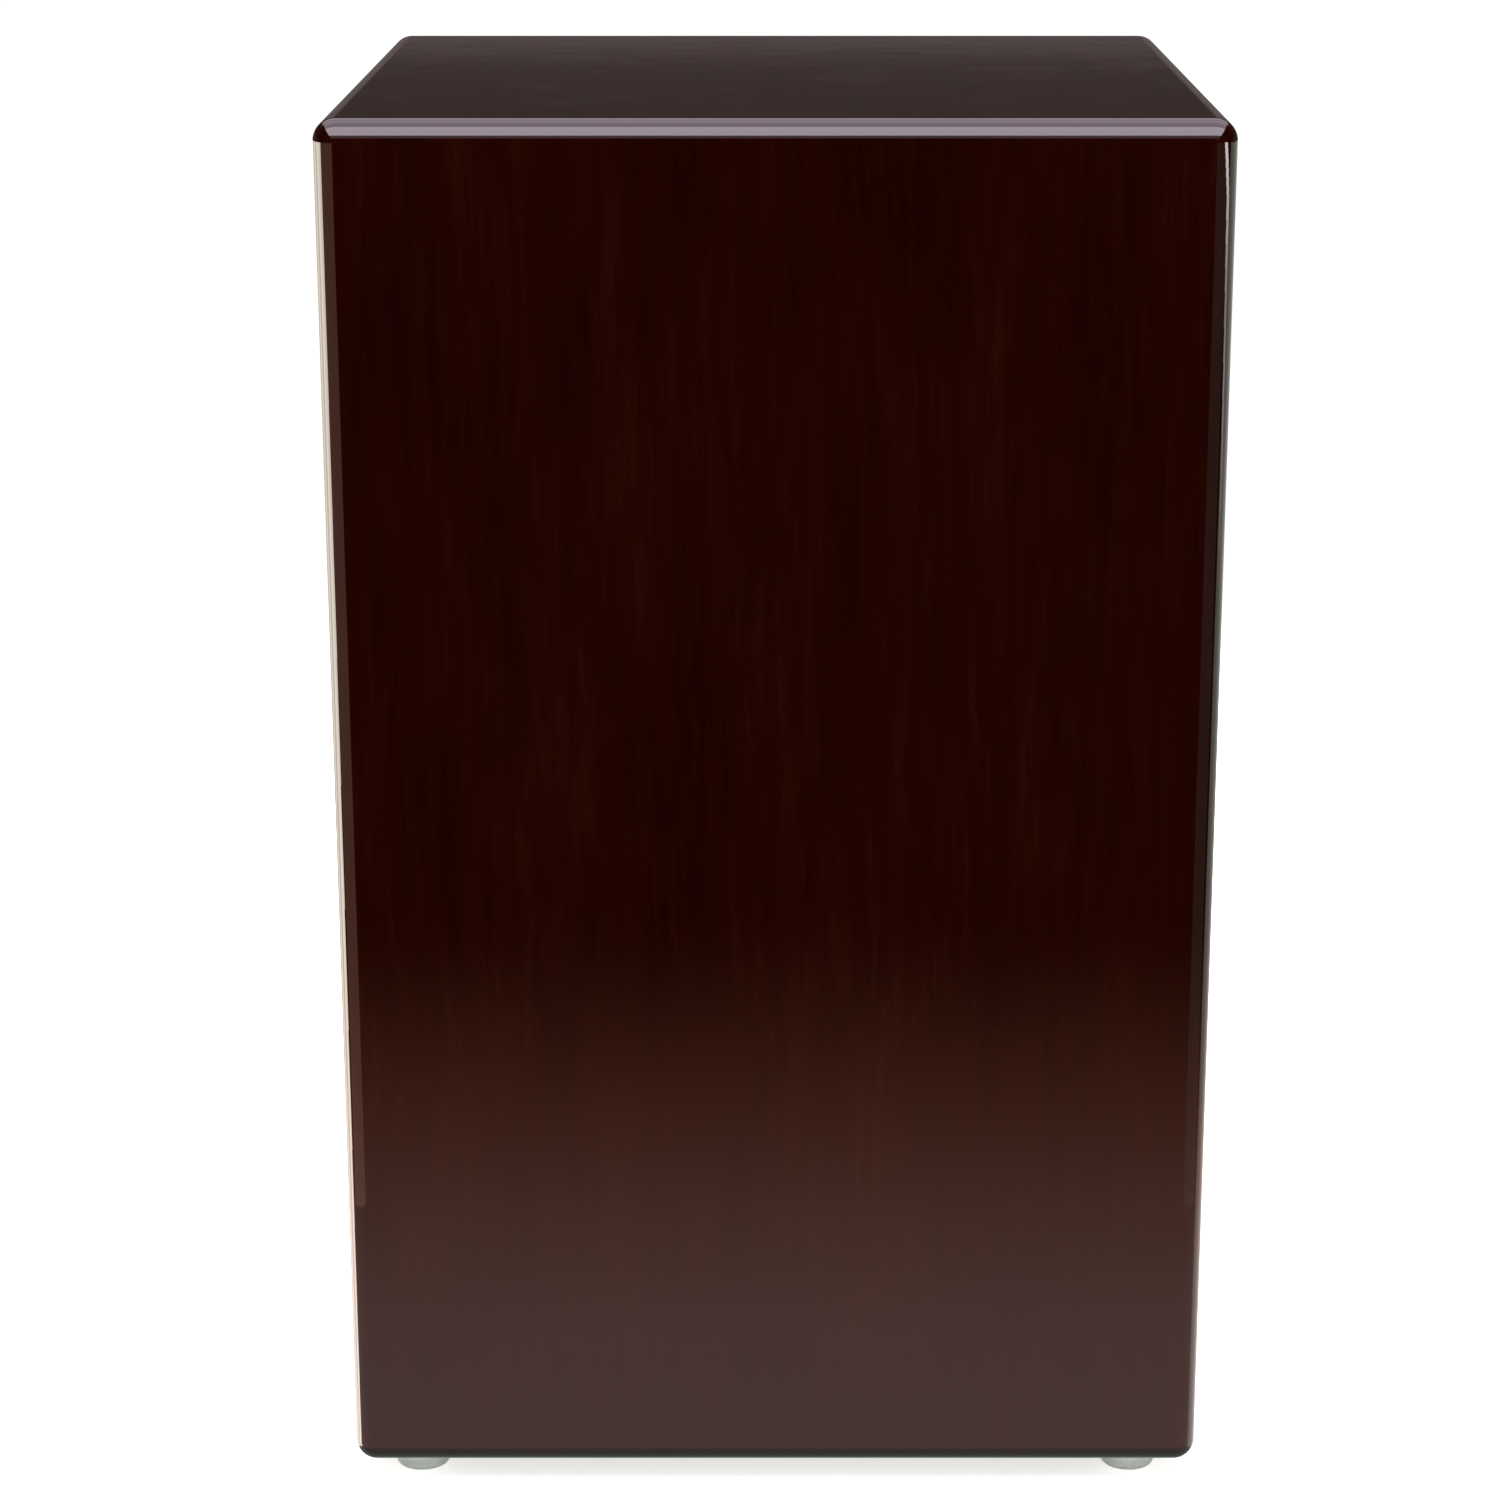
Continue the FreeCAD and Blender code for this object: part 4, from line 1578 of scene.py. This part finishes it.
@dataclass
class SnareLever:
    """The lever's ball knob, its stop peg and the stop pin."""

    effects: Effects
    axle: SnareAxle
    droop: float = math.radians(10)
    knob_place: float = 94.5 * MM
    knob_radius: float = 13.0 * MM
    knob_flat: float = 1.5 * MM
    groove: float = 0.35 * MM
    peg_x: float = 110.0 * MM
    peg_lean: float = math.radians(40)
    peg_length: float = 21.0 * MM
    peg_radius: float = 2.5 * MM
    chamfer: float = 0.5 * MM

    def direction(self) -> Vector:
        """The way that the lever points."""
        return Vector((0.0, math.cos(self.droop), -math.sin(self.droop)))

    def knob(self) -> Shape:
        """A turned ball with two fine grooves and a flat end."""
        shape = bmesh.new()
        bmesh.ops.create_uvsphere(shape, u_segments=72, v_segments=48, radius=self.knob_radius)
        end = self.knob_radius - self.knob_flat
        rim = cut_across(shape, (0, 0, end), UP, True)
        cap = bmesh.ops.holes_fill(shape, edges=rim, sides=0)["faces"]
        round_off(shape, [edge for face in cap for edge in face.edges], 0.3 * MM, 3, "EDGES")
        for level in (-0.16, 0.16):
            self._groove(shape, level * self.knob_radius)
        low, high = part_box("snare_lever_knob")
        middle = (low + high) / 2
        root = self.axle.axis + Vector((middle.x - self.axle.axis.x, 0, 0))
        place = root + self.direction() * self.knob_place
        return stand(shape, place, self.direction())

    def _groove(self, shape: Shape, level: float) -> None:
        """Cuts a fine groove round the ball.

        Args:
            shape: the ball.
            level: the groove's height on it.
        """
        for height in (level - self.groove, level, level + self.groove):
            cut_across(shape, (0, 0, height), UP, False)
        bottom = [vertex for vertex in shape.verts if abs(vertex.co.z - level) < WELD * 10]
        inward = 1 - self.groove * 0.8 / self.knob_radius
        bmesh.ops.scale(shape, vec=(inward, inward, 1.0), verts=bottom)

    def pin(self, length: float, radius: float, place: Vector, direction: Vector) -> Shape:
        """A steel pin with chamfered ends.

        Args:
            length: its length.
            radius: its radius.
            place: the middle of its first end.
            direction: the way that it points.

        Returns:
            The pin in its place.
        """
        profile = (
            Turn(0.0, 0.0),
            Turn(radius - self.chamfer, 0.0, 0.1 * MM),
            Turn(radius, self.chamfer, 0.1 * MM),
            Turn(radius, length - self.chamfer, 0.1 * MM),
            Turn(radius - self.chamfer, length, 0.1 * MM),
            Turn(0.0, length),
        )
        return stand(lathe(profile, 40, 3), place, direction)

    def peg(self) -> Shape:
        """The peg in the dowel that meets the stop pin."""
        place = Vector((self.peg_x, self.axle.axis.y, self.axle.axis.z))
        direction = Vector((0.0, math.sin(self.peg_lean), math.cos(self.peg_lean)))
        return self.pin(self.peg_length, self.peg_radius, place, direction)

    def stop(self) -> Shape:
        """The pin in the bearing block that stops the peg."""
        low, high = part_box("stop_pin")
        middle = (low + high) / 2
        place = Vector((low.x, middle.y, middle.z))
        return self.pin(high.x - low.x, (high.z - low.z) / 2, place, Vector((1.0, 0.0, 0.0)))

    def build(self) -> None:
        """Makes the turned parts and dresses the arm."""
        beech = Beech(run=Run.LEVER).material(self.effects)
        dress("snare_lever_arm", beech)
        fit("turned_knob", self.knob(), [beech], Body.SNARE, ["snare_lever_knob"])
        zinc = [self.axle.zinc]
        fit("steel_peg", self.peg(), zinc, Body.SNARE, ["snare_stop_peg"])
        fit("steel_stop_pin", self.stop(), zinc, Body.BOX, ["stop_pin"])


# ---------------------------------------------------------------- the studio
@dataclass(frozen=True)
class Softbox:
    """A rectangular studio light."""

    name: str
    place: Triple
    aim: Triple
    size: Pair
    radiance: float
    colour: Triple = (1.0, 1.0, 1.0)
    lights_things: bool = True  # False leaves only its reflection
    shows_in_gloss: bool = True

    def hang(self) -> None:
        """Puts the light in the scene."""
        light = bpy.data.lights.new(self.name, "AREA")
        light.shape = "RECTANGLE"
        light.size, light.size_y = self.size
        light.energy = 4 * self.size[0] * self.size[1] * self.radiance
        light.color = self.colour
        lamp = bpy.data.objects.new(self.name, light)
        bpy.context.scene.collection.objects.link(lamp)
        lamp.location = self.place
        lamp.rotation_euler = (Vector(self.aim) - Vector(self.place)).to_track_quat("-Z", "Y").to_euler()
        lamp.visible_camera = False
        lamp.visible_diffuse = self.lights_things
        lamp.visible_transmission = self.lights_things
        lamp.visible_glossy = self.shows_in_gloss


@dataclass(frozen=True)
class Rung:
    """One height on a line of light along an upright edge."""

    height: float
    begins: float  # degrees that the rounding turns the view
    ends: float
    radiance: float

    def toward(self, other: "Rung", part: float) -> "Rung":
        """A rung between this one and another.

        Args:
            other: the other rung.
            part: how far towards it, from 0 to 1.

        Returns:
            The rung there.
        """
        pairs = zip(
            (self.height, self.begins, self.ends, self.radiance),
            (other.height, other.begins, other.ends, other.radiance),
        )
        return Rung(*(here + (there - here) * part for here, there in pairs))


@dataclass(frozen=True)
class Studio:
    """The camera, a white floor, the soft lights and the lights that show only in gloss.

    The floor looks plain to the camera, but is lit up beyond what the lights give it, and gloss surfaces
    see a tinted glow in its place. The slim cards beside the two front edges are placed by where the camera
    stands, so the bright lines along those edges are right for its view and show as strips in others.
    """

    half: Pair  # half width and half depth of the case
    camera_place: Triple = (0.0, -1.3655, 0.630)
    pitch: float = math.radians(16.23)  # down from level
    lens: float = 90.62
    shift: float = -0.0168  # the case stands a little right of the middle
    floor_size: float = 16.0
    surround: float = 0.55  # what the room gives to matt surfaces
    exposure: float = 1.5  # how much brighter the floor looks than it lights things
    lift: float = 0.57  # the least brightness of the floor
    rounding: float = 7.5 * MM  # of the upright edges
    card_gap: float = 0.02  # between an edge and its cards
    skirting: Colour = (0.30, 0.40, 0.36, 1.0)  # the glow at the case, near it, far from it and behind it
    near_tint: Colour = (1.0, 0.71, 0.69, 1.0)
    far_tint: Colour = (1.0, 0.41, 0.26, 1.0)
    behind: Colour = (0.125, 0.105, 0.10, 1.0)
    glow: float = 1.2  # its brightness at the case
    glow_fades: Pair = (0.09, 0.64)  # where it begins to fade, and where it has gone
    tint_turns: Pair = (0.0, 0.45)
    skirting_ends: Pair = (0.002, 0.028)
    behind_starts: Pair = (0.1, 0.6)
    horizon: float = 1.05  # brightness of the far floor and the background
    floor_ends: Pair = (0.5, 1.1)  # where the floor turns to that background
    whites: tuple[Colour, Colour] = ((0.88, 0.88, 0.88, 1.0), (0.91, 0.91, 0.905, 1.0))
    room_tint: Colour = (1.06, 0.89, 0.87, 1.0)  # of the dim room that gloss surfaces see
    room_least: float = 0.002
    room_side: Pair = (-0.15, 0.35)  # how far the room's light is behind, and
    room_band: Pair = (0.0945, 0.1035)  # how high, as parts of the direction
    band_light: Pair = (0.145, 0.05)  # below and above that height
    rungs: int = 4  # cards to each stretch of a line
    left_line: tuple[Rung, ...] = (
        Rung(0.476, 68.0, 97.0, 8.6),
        Rung(0.300, 68.0, 94.0, 8.6),
        Rung(0.120, 68.0, 83.0, 8.6),
        Rung(0.0, 68.0, 79.0, 8.6),
    )
    right_line: tuple[Rung, ...] = (
        Rung(0.477, 113.0, 129.0, 9.5),
        Rung(0.470, 104.0, 120.0, 9.0),
        Rung(0.458, 92.0, 107.0, 6.5),
        Rung(0.426, 87.0, 99.0, 2.6),
        Rung(0.378, 76.0, 88.0, 1.3),
        Rung(0.325, 70.0, 82.0, 0.0),
    )

    def floor(self) -> None:
        """The floor, with its own look for gloss surfaces."""
        shape = bmesh.new()
        bmesh.ops.create_grid(shape, x_segments=8, y_segments=8, size=self.floor_size)
        mesh = bpy.data.meshes.new("studio_floor")
        shape.to_mesh(mesh)
        shape.free()
        mesh.materials.append(self.floor_finish())
        floor = bpy.data.objects.new("studio_floor", mesh)
        bpy.context.scene.collection.objects.link(floor)

    def floor_glow(self, bench: Bench, here: Socket) -> Socket:
        """What the gloss surfaces see of the floor.

        Args:
            bench: the floor's tree.
            here: the place on the floor.

        Returns:
            The colour, as bright as it is.
        """
        distance = self.distance(bench, here)
        near = bench.spread(distance, *self.glow_fades, self.glow, 0.0)
        tint = bench.blend(bench.spread(distance, *self.tint_turns), self.near_tint, self.far_tint)
        tint = bench.blend(bench.spread(distance, *self.skirting_ends), self.skirting, tint)
        glow = bench.blend(1.0, tint, near, "MULTIPLY")
        behind = bench.spread(bench.parts(here)["Y"], *self.behind_starts)
        return bench.blend(behind, glow, self.behind, "ADD")

    def distance(self, bench: Bench, here: Socket) -> Socket:
        """How far a place on the floor is from the case.

        Args:
            bench: the floor's tree.
            here: the place.

        Returns:
            The distance in metres, 0 under the case.
        """
        away = bench.place("ShaderNodeVectorMath", {0: here}, operation="ABSOLUTE").outputs[0]
        for operation, other in (("SUBTRACT", (*self.half, 0.0)), ("MAXIMUM", (0.0, 0.0, 0.0))):
            away = bench.place("ShaderNodeVectorMath", {0: away, 1: other}, operation=operation).outputs[0]
        return bench.place("ShaderNodeVectorMath", {0: away}, operation="LENGTH").outputs["Value"]

    @staticmethod
    def first_gloss(bench: Bench) -> Socket:
        """Tells the rays that come from a gloss surface, with no matt surface before it.

        Args:
            bench: the tree.

        Returns:
            1 for such a ray, 0 for the rest.
        """
        path = bench.place("ShaderNodeLightPath").outputs
        direct = bench.maths("LESS_THAN", path["Diffuse Depth"], 0.5)
        return bench.times(path["Is Glossy Ray"], direct)

    def floor_finish(self) -> Material:
        """Matt white, brighter to the camera, and a glow to the rays that a gloss surface sends down."""
        material = new_material("studio floor")
        bench = Bench(material.node_tree)
        here = bench.place("ShaderNodeTexCoord").outputs["Object"]
        glow = self.floor_glow(bench, here)
        shown = bench.place("ShaderNodeEmission", {"Color": glow, "Strength": 1.0}).outputs[0]
        mottle = bench.noise(bench.in_mm(here), 220.0, 3.0)
        white = bench.blend(mottle, *self.whites)
        matt = bench.place("ShaderNodeBsdfDiffuse", {"Color": white}).outputs[0]
        bright = bench.blend(1.0, white, (self.exposure,) * 3 + (1.0,), "MULTIPLY")
        looked_at = bench.place("ShaderNodeBsdfDiffuse", {"Color": bright}).outputs[0]
        warm = {"Color": (1.0, 0.985, 0.96, 1.0), "Strength": self.lift}
        lift = bench.place("ShaderNodeEmission", warm).outputs[0]
        looked_at = bench.place("ShaderNodeAddShader", {0: looked_at, 1: lift}).outputs[0]
        endless = bench.place("ShaderNodeEmission", {"Strength": self.horizon}).outputs[0]
        horizon = bench.spread(self.distance(bench, here), *self.floor_ends)
        looked_at = bench.place("ShaderNodeMixShader", {0: horizon, 1: looked_at, 2: endless}).outputs[0]
        path = bench.place("ShaderNodeLightPath").outputs
        through = bench.maths("MAXIMUM", path["Is Camera Ray"], path["Is Transmission Ray"])
        mixed = bench.place("ShaderNodeMixShader", {0: through, 1: matt, 2: looked_at}).outputs[0]
        mirrored = self.first_gloss(bench)
        mixed = bench.place("ShaderNodeMixShader", {0: mirrored, 1: mixed, 2: shown}).outputs[0]
        bench.place("ShaderNodeOutputMaterial", {"Surface": mixed})
        return material

    def room(self) -> None:
        """White to look at, even light for matt surfaces, and a dim room in the lacquer."""
        world = bpy.data.worlds.new("studio room")
        world.use_nodes = True
        world.node_tree.nodes.clear()
        bench = Bench(world.node_tree)
        direction = bench.place("ShaderNodeTexCoord").outputs["Generated"]
        parts = bench.parts(direction)
        behind = bench.spread(parts["Y"], *self.room_side)
        low_band = bench.spread(parts["Z"], *self.room_band, *self.band_light)
        dim = bench.add(bench.times(behind, low_band), self.room_least)
        dim = bench.blend(1.0, self.room_tint, dim, "MULTIPLY")
        seen = bench.place("ShaderNodeLightPath").outputs["Is Camera Ray"]
        around = bench.blend(seen, (self.surround,) * 3 + (1.0,), (self.horizon,) * 3 + (1.0,))
        colour = bench.blend(self.first_gloss(bench), around, dim)
        background = bench.place("ShaderNodeBackground", {"Color": colour, "Strength": 1.0}).outputs[0]
        bench.place("ShaderNodeOutputWorld", {"Surface": background})
        bpy.context.scene.world = world

    def lights(self) -> None:
        """Hangs the softboxes."""
        lilac = (1.0, 0.88, 1.0)
        warm = (1.0, 0.90, 0.78)
        pale = (1.0, 0.95, 0.90)
        sage = (0.97, 1.0, 0.90)
        umber = (1.0, 0.55, 0.38)
        for box in (
            Softbox("key", (0.0, -0.6, 2.1), (0.0, -0.6, 0.0), (1.8, 1.6), 5.0, shows_in_gloss=False),
            Softbox("low fill", (0.0, -1.0, 0.25), (0.0, -0.14, 0.0), (1.6, 0.3), 2.2, shows_in_gloss=False),
            Softbox("rear fill", (0.0, 1.3, 0.75), (0.0, 0.14, 0.3), (1.0, 0.7), 6.0, shows_in_gloss=False),
            Softbox("overhead", (0.0, -1.46, 2.0), (0.0, -1.46, 0.0), (2.8, 2.08), 5.9, lilac, False),
            Softbox("overhead front", (0.0, -3.5, 2.0), (0.0, -3.5, 0.0), (2.8, 2.0), 0.6, lilac, False),
            Softbox("overhead rear", (0.0, 0.24, 2.0), (0.0, 0.24, 0.0), (2.8, 1.32), 2.4, lilac, False),
            Softbox("far rear", (0.0, 1.90, 2.0), (0.0, 1.90, 0.0), (3.4, 2.0), 1.35, lilac, False),
            self.card("left card rear", -1, (2.0, 40.0), (0.0, 0.476), 1.4, warm),
            self.card("left card middle", -1, (40.0, 68.0), (0.0, 0.476), 4.0, warm),
            self.card("left card ahead", -1, (98.0, 158.0), (0.10, 0.476), 0.7, umber),
            self.card("right card side", 1, (38.0, 92.0), (0.0, 0.476), 0.75, sage),
            self.card("right card rear", 1, (2.0, 38.0), (0.0, 0.476), 0.6, sage),
            self.card("right card ahead", 1, (104.0, 165.0), (0.10, 0.476), 0.13, sage),
            *self.ladder("left line", -1, self.left_line, warm),
            *self.ladder("right line", 1, self.right_line, pale),
        ):
            box.hang()

    def card(
        self,
        name: str,
        side: int,
        turns: Pair,
        heights: Pair,
        radiance: float,
        colour: Triple,
    ) -> Softbox:
        """A slim lit card close beside a front edge, placed to show in its rounding from the camera.

        Args:
            name: the light's name.
            side: -1 for the left edge and 1 for the right.
            turns: how far, in degrees, the rounding turns the view where the card begins and ends.
            heights: its lowest and highest points.
            radiance: how bright it is.
            colour: its colour.

        Returns:
            The light.
        """
        view = Vector((side * self.half[0], -self.half[1] - self.camera_place[1], 0.0)).normalized()
        outward = Vector((side * view.y, -side * view.x, 0.0))
        across, ahead = self.half[0] - self.rounding, self.rounding - self.half[1]
        middle = Vector((side * across, ahead, sum(heights) / 2))
        seen = []
        ends = []
        for turn in turns:
            angle = -side * math.radians(turn)
            seen.append(middle + Matrix.Rotation(angle / 2, 3, "Z") @ outward * self.rounding)
            ends.append(seen[-1] + Matrix.Rotation(angle, 3, "Z") @ view * self.card_gap)
        size = ((ends[1] - ends[0]).length, heights[1] - heights[0])
        place, aim = (tuple((first + second) / 2) for first, second in (ends, seen))
        return Softbox(name, place, aim, size, radiance, colour, False)

    def ladder(self, name: str, side: int, line: Sequence[Rung], colour: Triple) -> list[Softbox]:
        """A line of light along an edge, from short cards one below the other.

        Args:
            name: what the lights' names begin with.
            side: -1 for the left edge and 1 for the right.
            line: the line's heights, from the top.
            colour: its colour.

        Returns:
            The lights.
        """
        cards = []
        for upper, lower in zip(line, line[1:]):
            for step in range(self.rungs):
                high = upper.toward(lower, step / self.rungs)
                low = upper.toward(lower, (step + 1) / self.rungs)
                half_way = high.toward(low, 0.5)
                turns = (half_way.begins, half_way.ends)
                heights = (low.height, high.height)
                label = f"{name} {len(cards) + 1}"
                cards.append(self.card(label, side, turns, heights, half_way.radiance, colour))
        return cards

    def camera(self) -> None:
        """Sets the camera down in front and a little above."""
        lens = bpy.data.cameras.new("camera")
        lens.lens = self.lens
        lens.sensor_width = 36.0
        lens.shift_x = self.shift
        lens.clip_start = 0.05
        camera = bpy.data.objects.new("camera", lens)
        bpy.context.scene.collection.objects.link(camera)
        camera.location = self.camera_place
        camera.rotation_euler = (math.pi / 2 - self.pitch, 0.0, 0.0)
        bpy.context.scene.camera = camera

    def build(self) -> None:
        """Sets the studio up."""
        self.camera()
        self.floor()
        self.room()
        self.lights()
        bpy.context.scene.view_settings.view_transform = "Standard"


def main() -> None:
    """Builds the instrument and its studio."""
    logging.basicConfig(level=logging.INFO, format="%(name)s %(message)s")
    effects = Effects()
    plated = Metal(
        name="zinc plated steel",
        bright=(0.62, 0.62, 0.60, 1.0),
        dull=(0.45, 0.45, 0.43, 1.0),
        roughness=0.27,
        clouds=3.0,
        hairlines=0.5,
    )
    zinc = plated.material(effects)
    case = LacqueredCase(effects)
    axle = SnareAxle(effects, zinc)
    wires_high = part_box("snare_wires_left")[0].y + SnareWires.coil_radius
    steps: tuple[Callable[[], None], ...] = (
        case.build,
        InnerFrame(effects).build,
        RubberFeet(effects).build,
        axle.build,
        SnareWires(effects, axle, wires_high).build,
        SnareLever(effects, axle).build,
        Studio((case.high.x, case.high.y)).build,
    )
    for step in steps:
        step()


if __name__ == "__main__":
    main()
